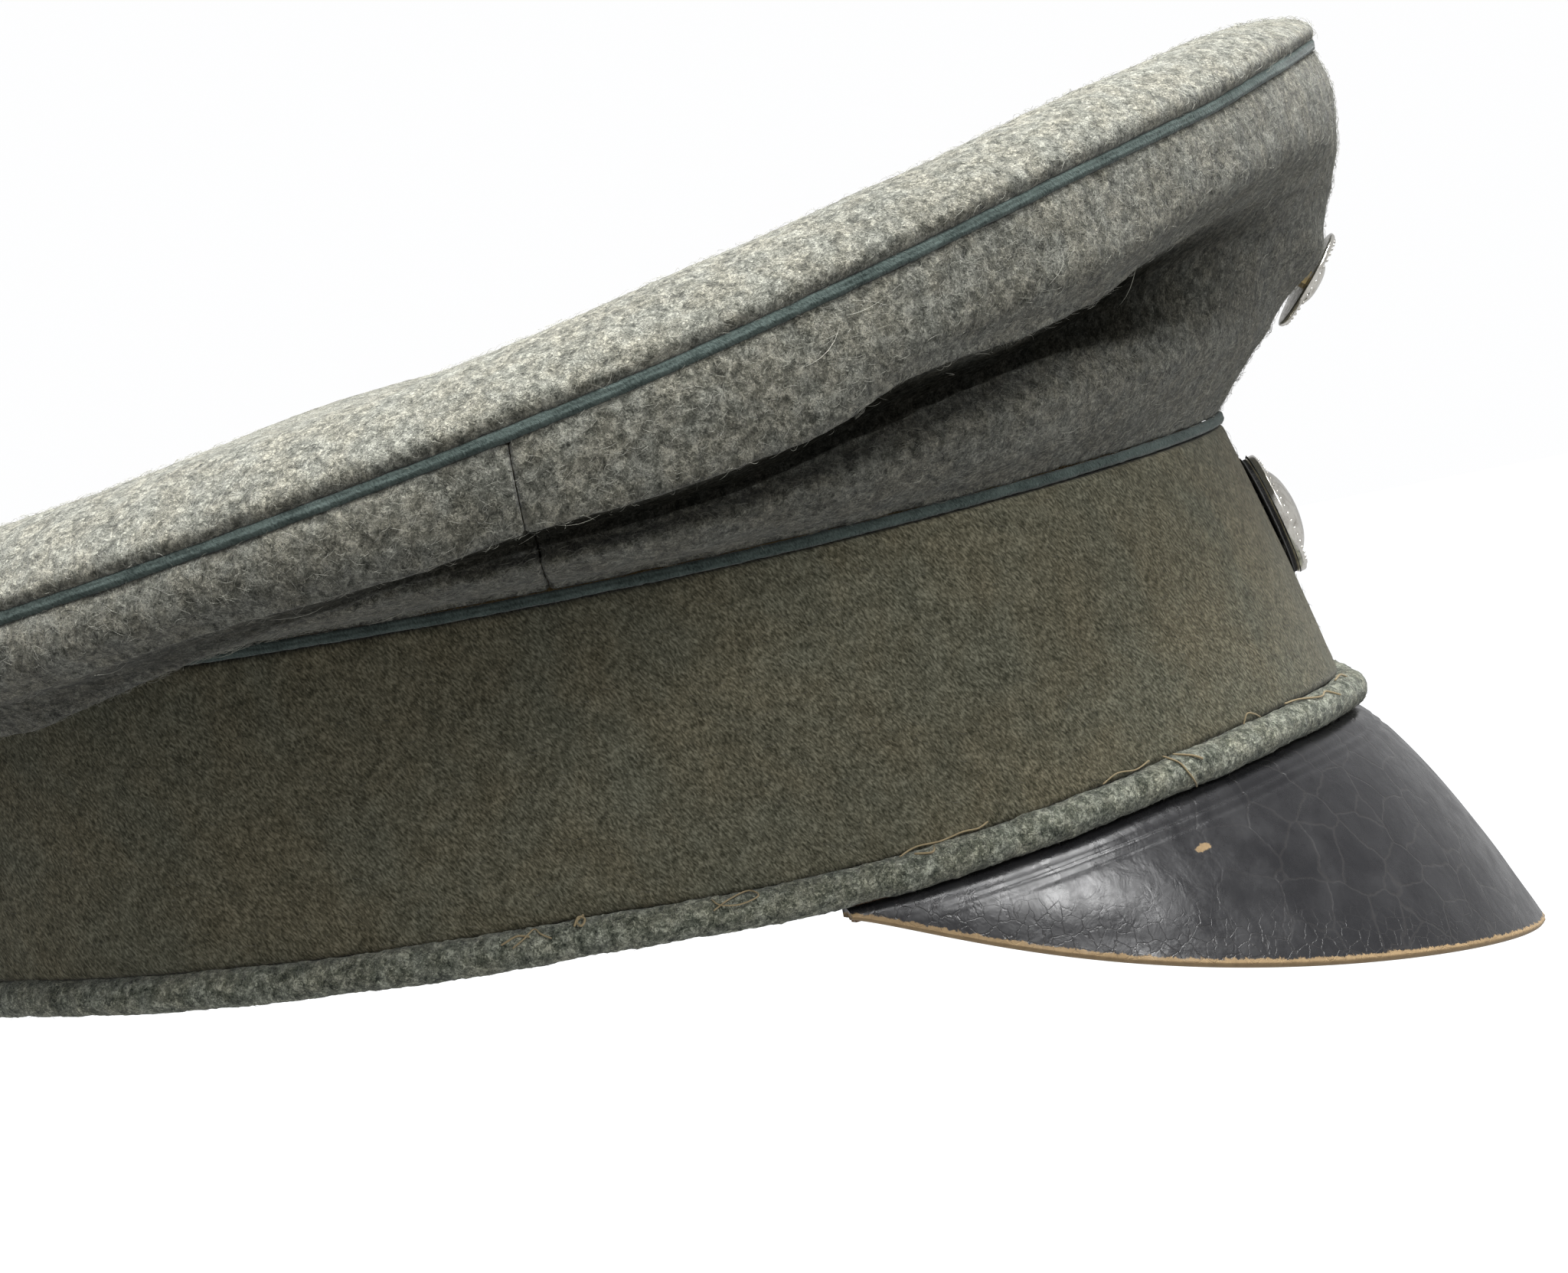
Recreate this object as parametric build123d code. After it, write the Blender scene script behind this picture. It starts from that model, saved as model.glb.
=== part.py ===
# A soft officer's peaked cap, in millimetres.
# Origin: centre of the head opening, in the plane of the lower edge.
# -Y is the wearer's front, +X the wearer's left, +Z up.
from build123d import *
from math import asin, atan2, cos, degrees, hypot, radians, sin, sqrt, tan
import os

os.makedirs("parts", exist_ok=True)

# ---- driving dimensions -------------------------------------------------
# Ovals are given as front, rear and side half-lengths, seen from above.
BAND_FOOT = (105.0, 105.0, 86.0)
BAND_HEAD = (94.0, 103.0, 86.0)
CROWN_RIM = (117.2, 129.3, 119.0)

EDGE_LIFT = 4.0             # lower edge curves up this much at front and rear
EDGE_STEP = 1.2             # and steps down, then up, where the peak begins
BAND_TOP = 45.0             # height of the upper band seam at the sides
BAND_TOP_LIFT = 2.5         # and how much higher it is at front and rear

RIM_CENTRE = 5.3            # centre of the crown rim, behind the origin
RIM_HALF = 124.0            # half of the crown rim's length
RIM_HEIGHT = 66.0           # height of the crown rim's centre
RIM_TILT = 22.5             # rise of the rim from its centre to the front
RIM_BOW = 6.0               # extra rise of the rim at front and rear
RIM_SHOULDER = 1.8          # and halfway between the front and the sides

CLOTH = 1.4                 # fulled wool cloth
WELT_RADIUS = 2.4
WELT_CORD_RADIUS = 1.4
PIPING_RADIUS = 1.1
ROLL_HEIGHT = 9.0           # top panel above the crown piping

# Depths below the outer face of the band, outer and inner face of a layer.
STIFFENER = (1.6, 2.5)
PRONG = (2.6, 3.0)
LINING = (3.2, 3.5)
SWEATBAND = (3.9, 5.1)
SWEATBAND_BOTTOM = 1.6      # above the lower edge
SWEATBAND_WIDTH = 38.0

PEAK_HALF_ANGLE = 72.0      # the peak spans this far each side of the front
PEAK_LENGTH = 39.5          # seam to rim at the centre line
PEAK_TAPER = 1.1            # how its length falls off towards its ends
PEAK_END_LENGTH = 4.0       # and what is left of it there
PEAK_SLOPE = 60.0           # below the horizontal, at the centre line
PEAK_END_SLOPE = 70.0       # and at its ends
PEAK_CROWNING = 1.4         # outward bow of the peak between seam and rim
PEAK_SEAM_GAP = 0.6         # between the welt and the peak's flange
PEAK_LEATHER = 1.3
PEAK_LINING = 0.8

LOWER_BADGE_RADIUS = 9.0
UPPER_BADGE_RADIUS = 7.5
LOWER_BADGE_HEIGHT = 32.0

SEAM_GAP = 0.05             # half of the gap at a butted seam, in degrees
STEPS_ROUND = 24            # meridian sections in a full turn


# ---- the cap's ruling curves ---------------------------------------------
def in_front(angle):
    return cos(radians(angle)) > 0


def oval_radius(oval, angle):
    """Distance from the axis to an oval; the angle is 0 at the front."""
    front, rear, side = oval
    along = cos(radians(angle))
    across = sin(radians(angle))
    length = front if in_front(angle) else rear
    return 1.0 / sqrt((along / length) ** 2 + (across / side) ** 2)


def place(angle, radius, height):
    """A point of the cap; angles run from the front towards the right ear."""
    return Vector(-radius * sin(radians(angle)), -radius * cos(radians(angle)), height)


def edge_height(angle):
    step = EDGE_STEP * sin(4 * radians(abs(angle))) if in_front(angle) else 0
    return EDGE_LIFT * cos(radians(angle)) ** 2 + step


def band_top_height(angle):
    return BAND_TOP + BAND_TOP_LIFT * cos(radians(angle)) ** 2


def band_radius(angle, height):
    """Outer face of the band at a height."""
    foot = edge_height(angle)
    share = (height - foot) / (band_top_height(angle) - foot)
    low = oval_radius(BAND_FOOT, angle)
    return low + (oval_radius(BAND_HEAD, angle) - low) * share


def rim_share(forward):
    """Place along the crown rim: 1 at its front, -1 at its rear."""
    return (forward + RIM_CENTRE) / RIM_HALF


def rim_plane_height(forward):
    return RIM_HEIGHT + RIM_TILT * rim_share(forward)


def rim_height(angle, inset=0, bow_share=1):
    """Height of the rim's curved plane, on the rim or further in."""
    rim = oval_radius(CROWN_RIM, angle)
    forward = cos(radians(angle))
    bow = RIM_BOW * rim_share(rim * forward) ** 2
    if in_front(angle):
        bow += RIM_SHOULDER * sin(2 * radians(angle)) ** 2
    return rim_plane_height((rim - inset) * forward) + bow_share * bow


# ---- building blocks -----------------------------------------------------
def layer_section(angle, outer, inner, smooth):
    """Closed meridian profile between an outer and an inner line."""
    outer = [place(angle, r, z) for r, z in outer]
    inner = [place(angle, r, z) for r, z in inner]
    if not smooth:
        return Wire.make_polygon(outer + inner[::-1], close=True)
    return Wire([
        Edge.make_spline(outer),
        Edge.make_line(outer[-1], inner[-1]),
        Edge.make_spline(inner[::-1]),
        Edge.make_line(inner[0], outer[0]),
    ])


def round_section(angle, centre, radius):
    """Circle in the meridian plane, as four arcs."""
    points = []
    for turn in angles(0, 360, 8):
        r = centre[0] + radius * cos(radians(turn))
        z = centre[1] + radius * sin(radians(turn))
        points.append(place(angle, r, z))
    points[8] = points[0]
    return Wire([Edge.make_three_point_arc(*points[i:i + 3]) for i in (0, 2, 4, 6)])


def angles(start, end, steps):
    return [start + (end - start) * i / steps for i in range(steps + 1)]


def layer(profile, start=SEAM_GAP - 180, end=180 - SEAM_GAP, steps=STEPS_ROUND, smooth=False):
    """A thin layer round the cap; profile(angle) gives its two lines."""
    turns = angles(start, end, steps)
    return Solid.make_loft([layer_section(a, *profile(a), smooth) for a in turns])


def cord(line, radius):
    """A round cord round the cap, butted at the rear; line(angle) gives its centre."""
    turns = angles(SEAM_GAP - 180, 180 - SEAM_GAP, STEPS_ROUND)
    return Solid.make_loft([round_section(a, line(a), radius) for a in turns])


def sunk(points, depth):
    """A meridian line moved inwards, at right angles to itself."""
    moved = []
    last = len(points) - 1
    for i, (r, z) in enumerate(points):
        before = points[max(i - 1, 0)]
        after = points[min(i + 1, last)]
        dr = after[0] - before[0]
        dz = after[1] - before[1]
        size = hypot(dr, dz)
        moved.append((r - depth * dz / size, z + depth * dr / size))
    return moved


def band_layer(depths, low, high):
    """A layer of the band between two clearances from its seams."""
    def profile(angle):
        bottom = edge_height(angle) + low
        top = band_top_height(angle) - high
        lines = []
        for depth in depths:
            lines.append([(band_radius(angle, z) - depth, z) for z in (bottom, top)])
        return lines
    return profile


def rim_disc(scale, drop, thickness):
    """A flat disc parallel to the crown rim, under the top panel."""
    points = []
    for angle in angles(0, 330, 11):
        radius = scale * oval_radius(CROWN_RIM, angle)
        forward = radius * cos(radians(angle))
        points.append(place(angle, radius, rim_plane_height(forward) + drop))
    face = Face(Wire([Edge.make_spline(points, periodic=True)]))
    return extrude(face, amount=thickness, dir=(0, 0, 1))


# ---- crown ----------------------------------------------------------------
# How far the crown's side stands off the straight line from the band seam to
# the rim, at a quarter, half and three quarters of the way: out, then up.
STAND_OFF = {
    "front": ((3.6, -0.8), (5.6, -3.0), (5.2, -2.3)),
    "side": ((3.5, 3.2), (9.3, -0.5), (10.7, -1.3)),
    "rear": ((-1.4, 0.6), (2.0, -7.0), (6.5, -7.0)),
}
SEAM_CLEARANCE = 1.4


def crown_side_line(angle):
    """Outer face of the crown's side, from the band seam to the rim."""
    along = cos(radians(angle))
    weights = {
        "front": max(along, 0) ** 2,
        "rear": max(-along, 0) ** 2,
        "side": 1 - along ** 2,
    }
    low = (oval_radius(BAND_HEAD, angle) - 0.1, band_top_height(angle) + SEAM_CLEARANCE)
    high = (oval_radius(CROWN_RIM, angle) - 0.2, rim_height(angle) - SEAM_CLEARANCE)
    points = [low]
    for i, share in enumerate((0.25, 0.5, 0.75)):
        r = low[0] + share * (high[0] - low[0])
        z = low[1] + share * (high[1] - low[1])
        r += sum(weights[k] * STAND_OFF[k][i][0] for k in weights)
        z += sum(weights[k] * STAND_OFF[k][i][1] for k in weights)
        points.append((r, z))
    points.append(high)
    return points


def crown_quarter(start):
    def profile(angle):
        outer = crown_side_line(angle)
        return outer, sunk(outer, CLOTH)
    return layer(profile, start + SEAM_GAP, start + 90 - SEAM_GAP, 6, smooth=True)


TOP_FLAT = 0.4              # the middle of the top panel is flat out to here
# Inset from the rim, rise above it, and share of the rim's bow.
TOP_PROFILE = (
    (0.2, 1.4, 1.0),
    (-1.3, 4.4, 1.0),
    (0.6, 7.2, 1.0),
    (6.0, ROLL_HEIGHT - 0.2, 0.9),
    (20.0, ROLL_HEIGHT + 0.6, 0.65),
    (44.0, ROLL_HEIGHT + 0.2, 0.25),
)


def top_panel_line(angle):
    """Outer face of the top panel, from the rim seam to its flat middle."""
    rim = oval_radius(CROWN_RIM, angle)
    points = []
    for inset, rise, bow_share in TOP_PROFILE:
        points.append((rim - inset, rim_height(angle, inset, bow_share) + rise))
    inset = (1 - TOP_FLAT) * rim
    points.append((rim - inset, rim_height(angle, inset, 0) + ROLL_HEIGHT))
    return points


def top_panel():
    def profile(angle):
        outer = top_panel_line(angle)
        return outer, [(r, z) for r, z in sunk(outer, CLOTH)]
    right = layer(profile, 0, 180, STEPS_ROUND // 2, smooth=True)
    middle = rim_disc(TOP_FLAT + 0.01, ROLL_HEIGHT - CLOTH + 0.1, CLOTH - 0.2)
    return (right + mirror(right, about=Plane.YZ)) + middle


def crown_padding():
    """Soft wadding roll inside the edge of the top panel."""
    inset = 5.0

    def line(angle):
        return oval_radius(CROWN_RIM, angle) - inset, rim_height(angle, inset, 0.9) + 4.6
    return cord(line, 1.8)


def grommet_line(angle):
    inset = 4.0
    return oval_radius(CROWN_RIM, angle) - inset, rim_height(angle, inset) + 0.4


def crown_grommet():
    """Steel wire ring that keeps the crown spread."""
    return cord(grommet_line, 0.8)


def grommet_ferrule():
    """Sleeve that joins the two ends of the wire, at the rear."""
    radius, height = grommet_line(180)
    tube = Cylinder(1.6, 14) - Cylinder(1.15, 14)
    return Pos(0, radius - 0.1, height) * Rot(0, 90, 0) * tube


def front_stay_layer(depths, half_width, start, end):
    """A strip behind the crown's front seam, between two shares of its line."""
    half_angle = degrees(asin(half_width / CROWN_RIM[0]))

    def profile(angle):
        line = Edge.make_spline([Vector(r, 0, z) for r, z in crown_side_line(0)])
        points = [line.position_at(start + (end - start) * i / 4) for i in range(5)]
        points = [(p.X, p.Z) for p in points]
        return sunk(points, depths[0]), sunk(points, depths[1])
    return layer(profile, -half_angle, half_angle, 2, smooth=True)


def front_stay():
    return front_stay_layer((2.15, 2.65), 3.5, 0.14, 0.92)


def front_stay_pocket():
    outside = front_stay_layer((1.6, 3.2), 5.5, 0.08, 0.96)
    return outside - front_stay_layer((1.95, 2.85), 3.9, 0.11, 0.94)


# ---- linings --------------------------------------------------------------
TOP_LINING_SCALE = 0.76
TOP_LINING_DROP = 5.6       # above the rim plane


def side_lining():
    def profile(angle):
        bottom = edge_height(angle) + 3.7
        top = band_top_height(angle)
        rim = TOP_LINING_SCALE * oval_radius(CROWN_RIM, angle)
        ceiling = rim_plane_height(rim * cos(radians(angle))) + TOP_LINING_DROP - 0.7
        lines = []
        for depth in LINING:
            line = [(band_radius(angle, z) - depth, z) for z in (bottom, (bottom + top) / 2, top)]
            foot = line[-1][0]
            line.append((foot + 0.45 * (rim - foot), top + 0.5 * (ceiling - top)))
            line.append((rim - depth + LINING[0], ceiling))
            lines.append(line)
        return lines
    return layer(profile)


def sweat_shield():
    """Celluloid lozenge under the top lining."""
    half_length = 68.0
    half_width = 50.0
    corners = []
    for x, forward in ((half_width, 0), (0, half_length), (-half_width, 0), (0, -half_length)):
        height = rim_plane_height(forward) + TOP_LINING_DROP - 0.6
        corners.append(Vector(x, -forward, height))
    return extrude(Face(Wire.make_polygon(corners, close=True)), amount=0.35, dir=(0, 0, 1))


# ---- band -----------------------------------------------------------------
def band_piping():
    def line(angle):
        return oval_radius(BAND_HEAD, angle) - 0.2, band_top_height(angle) + 0.15
    return cord(line, PIPING_RADIUS)


def crown_piping():
    def line(angle):
        return oval_radius(CROWN_RIM, angle), rim_height(angle)
    return cord(line, PIPING_RADIUS + 0.1)


def welt_line(angle):
    return oval_radius(BAND_FOOT, angle) - 0.2, edge_height(angle) + WELT_RADIUS


def lower_welt():
    return cord(welt_line, WELT_RADIUS) - cord(welt_line, WELT_CORD_RADIUS + 0.1)


def edge_binding():
    """Tape that closes the lower edge, between the welt and the sweatband."""
    def profile(angle):
        low = edge_height(angle) + 0.3
        high = low + 2.9
        radius = oval_radius(BAND_FOOT, angle)
        return [[(radius - depth, z) for z in (low, high)] for depth in (2.7, 3.5)]
    return layer(profile)


# ---- sweatband ------------------------------------------------------------
def sweatband_layer(depths, low, high, start, end, steps):
    def profile(angle):
        foot = edge_height(angle) + SWEATBAND_BOTTOM
        lines = []
        for depth in depths:
            lines.append([(band_radius(angle, z) - depth, z) for z in (foot + low, foot + high)])
        return lines
    return layer(profile, start, end, steps)


def sweatband():
    seam = 180 - 3 * SEAM_GAP
    return sweatband_layer(SWEATBAND, 0, SWEATBAND_WIDTH, -seam, seam, STEPS_ROUND)


def sweatband_join_tape():
    """Strip behind the rear join of the sweatband, where it is stitched."""
    inside = (SWEATBAND[1] + 0.05, SWEATBAND[1] + 0.65)
    return sweatband_layer(inside, 2, SWEATBAND_WIDTH - 2, 177.2, 182.8, 4)


def stitch(start, end, thickness):
    """One short straight stitch with rounded ends."""
    direction = end - start
    plane = Plane(origin=start, z_dir=direction)
    body = Solid.make_cylinder(thickness, direction.length, plane)
    return body + Solid.make_sphere(thickness, Plane(start)) + Solid.make_sphere(thickness, Plane(end))


def stitch_row(line, start, end, pitch, length, thickness):
    """Stitches spaced round the cap; line(angle) gives radius and height."""
    stitches = []
    count = round(radians(end - start) * 95 / pitch)
    for i in range(count):
        middle = start + (end - start) * (i + 0.5) / count
        half = degrees(length / 2 / line(middle)[0])
        first = place(middle - half, *line(middle - half))
        second = place(middle + half, *line(middle + half))
        stitches.append(stitch(first, second, thickness))
    return Compound(children=stitches)


def sweatband_stitches():
    def line(angle):
        height = edge_height(angle) + SWEATBAND_BOTTOM + 2.2
        return band_radius(angle, height) - SWEATBAND[1] - 0.42, height
    return stitch_row(line, -176, 176, 7.5, 4.4, 0.3)


# ---- peak -----------------------------------------------------------------
def peak_line(angle, depth):
    """One face of the peak: its sewn flange, its seam bend and its rim."""
    share = angle / PEAK_HALF_ANGLE
    slope = radians(PEAK_SLOPE + (PEAK_END_SLOPE - PEAK_SLOPE) * share ** 2)
    foot = oval_radius(BAND_FOOT, angle)
    shift = depth * tan(slope / 2)
    bend = (foot + 1.0 - shift, edge_height(angle) - PEAK_SEAM_GAP - depth)
    length = max(PEAK_LENGTH * (1 - share ** 2) ** PEAK_TAPER, PEAK_END_LENGTH) - shift
    crowning = PEAK_CROWNING * (1 - share ** 2)
    points = [(foot - 3.6, bend[1]), (bend[0] - 0.8, bend[1])]
    for part, bow in ((0.2, 0.5), (0.55, 1.0), (1.0, 0.0)):
        r = bend[0] + part * length * cos(slope) + bow * crowning * sin(slope)
        z = bend[1] - part * length * sin(slope) + bow * crowning * cos(slope)
        points.append((r, z))
    return points


def peak_layer(outer, inner):
    def profile(angle):
        return peak_line(angle, outer), peak_line(angle, inner)
    end = PEAK_HALF_ANGLE - 1
    return layer(profile, -end, end, 20, smooth=True)


def peak_stitches():
    """Row that holds the peak's flange, seen on its underside."""
    depth = PEAK_LEATHER + PEAK_LINING + 0.8

    def line(angle):
        return oval_radius(BAND_FOOT, angle) - 1.6, edge_height(angle) - PEAK_SEAM_GAP - depth
    return stitch_row(line, -66, 66, 7.0, 4.0, 0.3)


BASTING_ANGLES = (88, 80, 66, 50, 34, 22, 12)


def basting_threads():
    """Ends of tan thread caught in the seam between band and welt."""
    threads = []
    for i, angle in enumerate(BASTING_ANGLES):
        half = 2.0 + 0.5 * (i % 3)
        half_angle = degrees(half / oval_radius(BAND_FOOT, angle))
        ends = []
        for side in (-1, 1):
            turn = angle + side * half_angle
            height = edge_height(turn) + 2 * WELT_RADIUS + 0.35 + 0.15 * side
            ends.append(place(turn, band_radius(turn, height) + 0.45, height))
        threads.append(stitch(ends[0], ends[1], 0.22))
    return Compound(children=threads)


# ---- badges ---------------------------------------------------------------
def badge_plane(radius, height, lean):
    """Plane of a badge on the centre line; lean tips its face upwards."""
    turn = radians(lean)
    return Plane(origin=(0, -radius, height), x_dir=(1, 0, 0), z_dir=(0, -cos(turn), sin(turn)))


def band_lean():
    rise = band_top_height(0) - edge_height(0)
    return degrees(atan2(BAND_FOOT[0] - BAND_HEAD[0], rise))


LOWER_BADGE_PLANE = badge_plane(band_radius(0, LOWER_BADGE_HEIGHT), LOWER_BADGE_HEIGHT, band_lean())


def upper_badge_plane():
    points = [Vector(r, 0, z) for r, z in crown_side_line(0)]
    line = Edge.make_spline(points)
    middle = line.position_at(0.42)
    slope = line.tangent_at(0.42)
    return badge_plane(middle.X + 0.5, middle.Z, -degrees(atan2(slope.X, slope.Z)))


UPPER_BADGE_PLANE = upper_badge_plane()


def badge_disc(plane, radius, base, dome):
    """Stamped disc: plain raised rim, a groove and a smooth boss."""
    outline = [
        (0, base), (radius, base), (radius, base + 0.6), (radius - 0.8, base + 1.1),
        (radius - 1.8, base + 0.6), (radius * 0.55, base + 0.8), (radius * 0.45, base + dome * 0.6),
        (radius * 0.3, base + dome * 0.88), (radius * 0.14, base + dome), (0, base + dome),
    ]
    face = Face(Wire.make_polygon([(r, 0, z) for r, z in outline], close=True))
    return plane * Solid.revolve(face, 360, Axis.Z)


def badge_prongs(plane, base, depth, spread, reach, turn):
    """Two flat prongs through the cloth, bent over behind it."""
    thickness = 0.4
    prongs = []
    for side in (0, 180):
        shank = Pos(spread, 0, (base - depth) / 2) * Box(thickness, 2.0, base + depth)
        foot = Pos(spread + (reach - thickness) / 2, 0, thickness / 2 - depth) * Box(reach, 2.0, thickness)
        prongs.append(plane * Rot(0, 0, turn + side) * (shank + foot))
    return Compound(children=prongs)


def prong_slots(plane, spread, turn):
    slot = Pos(spread, 0, -2) * Box(1.0, 2.6, 9)
    return [plane * Rot(0, 0, turn + side) * slot for side in (0, 180)]


def less(solid, cutters):
    for cutter in cutters:
        solid = solid - cutter
    return solid


LOWER_SLOTS = prong_slots(LOWER_BADGE_PLANE, 3.0, 90)
UPPER_SLOTS = prong_slots(UPPER_BADGE_PLANE, 6.2, 0)


def lower_badge_felt():
    """Dark cloth disc between the band and the lower badge."""
    return LOWER_BADGE_PLANE * Pos(0, 0, 0.85) * Cylinder(LOWER_BADGE_RADIUS + 0.4, 1.2)


# ---- assembly -------------------------------------------------------------
NODES = {
    "band_cloth": lambda: less(layer(band_layer((0, CLOTH), 4.95, 1.05)), LOWER_SLOTS),
    "band_stiffener": lambda: less(layer(band_layer(STIFFENER, 5.05, 1.2)), LOWER_SLOTS),
    "band_piping": band_piping,
    "lower_welt": lower_welt,
    "welt_cord": lambda: cord(welt_line, WELT_CORD_RADIUS),
    "edge_binding": edge_binding,
    "front_right_quarter": lambda: less(crown_quarter(0), UPPER_SLOTS),
    "rear_right_quarter": lambda: crown_quarter(90),
    "rear_left_quarter": lambda: crown_quarter(180),
    "front_left_quarter": lambda: less(crown_quarter(270), UPPER_SLOTS),
    "crown_piping": crown_piping,
    "top_panel": top_panel,
    "crown_padding": crown_padding,
    "crown_grommet": crown_grommet,
    "grommet_ferrule": grommet_ferrule,
    "front_stay": front_stay,
    "front_stay_pocket": front_stay_pocket,
    "top_wadding": lambda: rim_disc(0.8, 6.3, 1.0),
    "top_lining": lambda: rim_disc(TOP_LINING_SCALE, TOP_LINING_DROP, 0.4),
    "side_lining": side_lining,
    "sweat_shield": sweat_shield,
    "sweatband": sweatband,
    "sweatband_join_tape": sweatband_join_tape,
    "sweatband_stitches": sweatband_stitches,
    "peak_leather": lambda: peak_layer(0, PEAK_LEATHER),
    "peak_lining": lambda: peak_layer(PEAK_LEATHER + 0.1, PEAK_LEATHER + PEAK_LINING),
    "peak_stitches": peak_stitches,
    "basting_threads": basting_threads,
    "lower_badge_felt": lambda: less(lower_badge_felt(), LOWER_SLOTS),
    "lower_badge": lambda: badge_disc(LOWER_BADGE_PLANE, LOWER_BADGE_RADIUS, 1.5, 3.2),
    "lower_badge_prongs": lambda: badge_prongs(LOWER_BADGE_PLANE, 1.5, PRONG[1], 3.0, 7.0, 90),
    "upper_badge": lambda: badge_disc(UPPER_BADGE_PLANE, UPPER_BADGE_RADIUS, 0.6, 2.4),
    "upper_badge_prongs": lambda: badge_prongs(UPPER_BADGE_PLANE, 0.6, 3.3, 6.2, 4.0, 0),
}


for name, build in NODES.items():
    export_step(build(), f"parts/{name}.step")
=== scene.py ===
import bmesh
import bpy
import numpy as np
from mathutils import Matrix, Vector


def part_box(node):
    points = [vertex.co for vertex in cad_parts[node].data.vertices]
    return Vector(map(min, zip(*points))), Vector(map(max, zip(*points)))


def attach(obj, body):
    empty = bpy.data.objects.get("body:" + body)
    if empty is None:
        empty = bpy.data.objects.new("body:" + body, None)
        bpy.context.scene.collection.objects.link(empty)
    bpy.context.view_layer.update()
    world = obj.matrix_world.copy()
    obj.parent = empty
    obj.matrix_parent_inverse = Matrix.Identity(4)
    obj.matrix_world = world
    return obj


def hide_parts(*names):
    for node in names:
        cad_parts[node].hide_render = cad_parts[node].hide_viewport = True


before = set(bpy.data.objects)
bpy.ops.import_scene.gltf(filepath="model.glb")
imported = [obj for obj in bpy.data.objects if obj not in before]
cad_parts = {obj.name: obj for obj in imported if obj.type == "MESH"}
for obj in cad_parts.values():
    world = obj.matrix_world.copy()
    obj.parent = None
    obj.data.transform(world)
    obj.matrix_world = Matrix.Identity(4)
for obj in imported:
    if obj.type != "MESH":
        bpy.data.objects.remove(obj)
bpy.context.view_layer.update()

MM = 0.001
WOOL_THICK = 1.4
LINING_THICK = 0.3


# ---- sizes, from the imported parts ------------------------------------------
def box_mm(node):
    return [np.array(corner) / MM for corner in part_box(node)]


def oval_of(node, proud):
    """Front, rear and side half-lengths of the seam under a cord standing that proud of it."""
    low, high = box_mm(node)
    return -low[1] - proud, high[1] - proud, high[0] - proud


BAND_FOOT = oval_of("lower_welt", 2.2)
BAND_HEAD = oval_of("band_piping", 0.9)
CROWN_RIM = oval_of("crown_piping", 1.2)

EDGE_LIFT = 4.0  # of the lower edge at the front and rear
EDGE_STEP = 1.2  # the edge's dip at the ends of the peak
WELT_RADIUS = 2.4
BAND_TOP = box_mm("band_piping")[0][2] + 0.95
BAND_TOP_LIFT = box_mm("band_piping")[1][2] - 1.25 - BAND_TOP

RIM_CENTRE = (CROWN_RIM[1] - CROWN_RIM[0]) / 2 - 0.75
RIM_HALF = CROWN_RIM[1] - RIM_CENTRE
RIM_BOW = 6.0  # of the rim seam above its sloping plane, at the front and rear
RIM_SHOULDER = 1.8  # more of it halfway round to the front
RIM_FRONT = box_mm("crown_piping")[1][2] - 1.2
RIM_REAR = box_mm("crown_piping")[0][2] + 1.2
RIM_TILT = (RIM_FRONT - RIM_REAR) / 2
RIM_HEIGHT = (RIM_FRONT + RIM_REAR) / 2 - RIM_BOW


def rad(angle):
    return np.radians(angle)


def oval_radius(oval, angle):
    front, rear, side = oval
    along = np.cos(rad(angle))
    length = np.where(along > 0, front, rear)
    return 1 / np.sqrt((along / length) ** 2 + (np.sin(rad(angle)) / side) ** 2)


def place(angle, radius, height):
    """Points of the cap, from arrays of polar angle, radius and height."""
    angle, radius, height = np.broadcast_arrays(angle, radius, height)
    return np.stack([-radius * np.sin(rad(angle)), -radius * np.cos(rad(angle)), height], -1)


def turned(angle):
    """The angle within half a turn of the front."""
    return (np.asarray(angle) + 180) % 360 - 180


def edge_height(angle):
    along = np.cos(rad(angle))
    step = EDGE_STEP * np.sin(4 * rad(np.abs(turned(angle))))
    return EDGE_LIFT * along ** 2 + np.where(along > 0, step, 0)


def spread(angle, columns):
    """Each angle repeated along a row of a grid."""
    return np.repeat(angle[:, None], columns, 1)


def band_top(angle):
    return BAND_TOP + BAND_TOP_LIFT * np.cos(rad(angle)) ** 2


def band_radius(angle, height):
    foot = edge_height(angle)
    share = (height - foot) / (band_top(angle) - foot)
    low = oval_radius(BAND_FOOT, angle)
    return low + (oval_radius(BAND_HEAD, angle) - low) * share


def rim_plane(forward):
    return RIM_HEIGHT + RIM_TILT * (forward + RIM_CENTRE) / RIM_HALF


def rim_height(angle, inset=0.0, bow_share=1.0):
    rim = oval_radius(CROWN_RIM, angle)
    along = np.cos(rad(angle))
    bow = RIM_BOW * ((rim * along + RIM_CENTRE) / RIM_HALF) ** 2
    bow = bow + np.where(along > 0, RIM_SHOULDER * np.sin(2 * rad(angle)) ** 2, 0)
    return rim_plane((rim - inset) * along) + bow_share * bow


# ---- noise -----------------------------------------------------------------
LATTICE = 64
lattice_values = np.random.default_rng(5).random((LATTICE, LATTICE, LATTICE)) * 2 - 1


def noise(points, size, shift=0.0):
    """Smooth noise from -1 to 1, with lumps of about this size in millimetres."""
    q = points / size + shift
    cell = np.floor(q).astype(int)
    part = q - cell
    part = part * part * (3 - 2 * part)
    total = 0
    for corner in np.ndindex(2, 2, 2):
        index = (cell + corner) % LATTICE
        weight = np.prod(np.where(corner, part, 1 - part), -1)
        total = total + weight * lattice_values[index[..., 0], index[..., 1], index[..., 2]]
    return total


def felted(points, height=0.1, shift=0.0):
    """Fine uneven surface of fulled wool."""
    coarse, fine, finest = (noise(points, size, shift) for size in (2.6, 1.2, 0.6))
    return height * (coarse + 0.8 * fine + 0.5 * finest)


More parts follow.
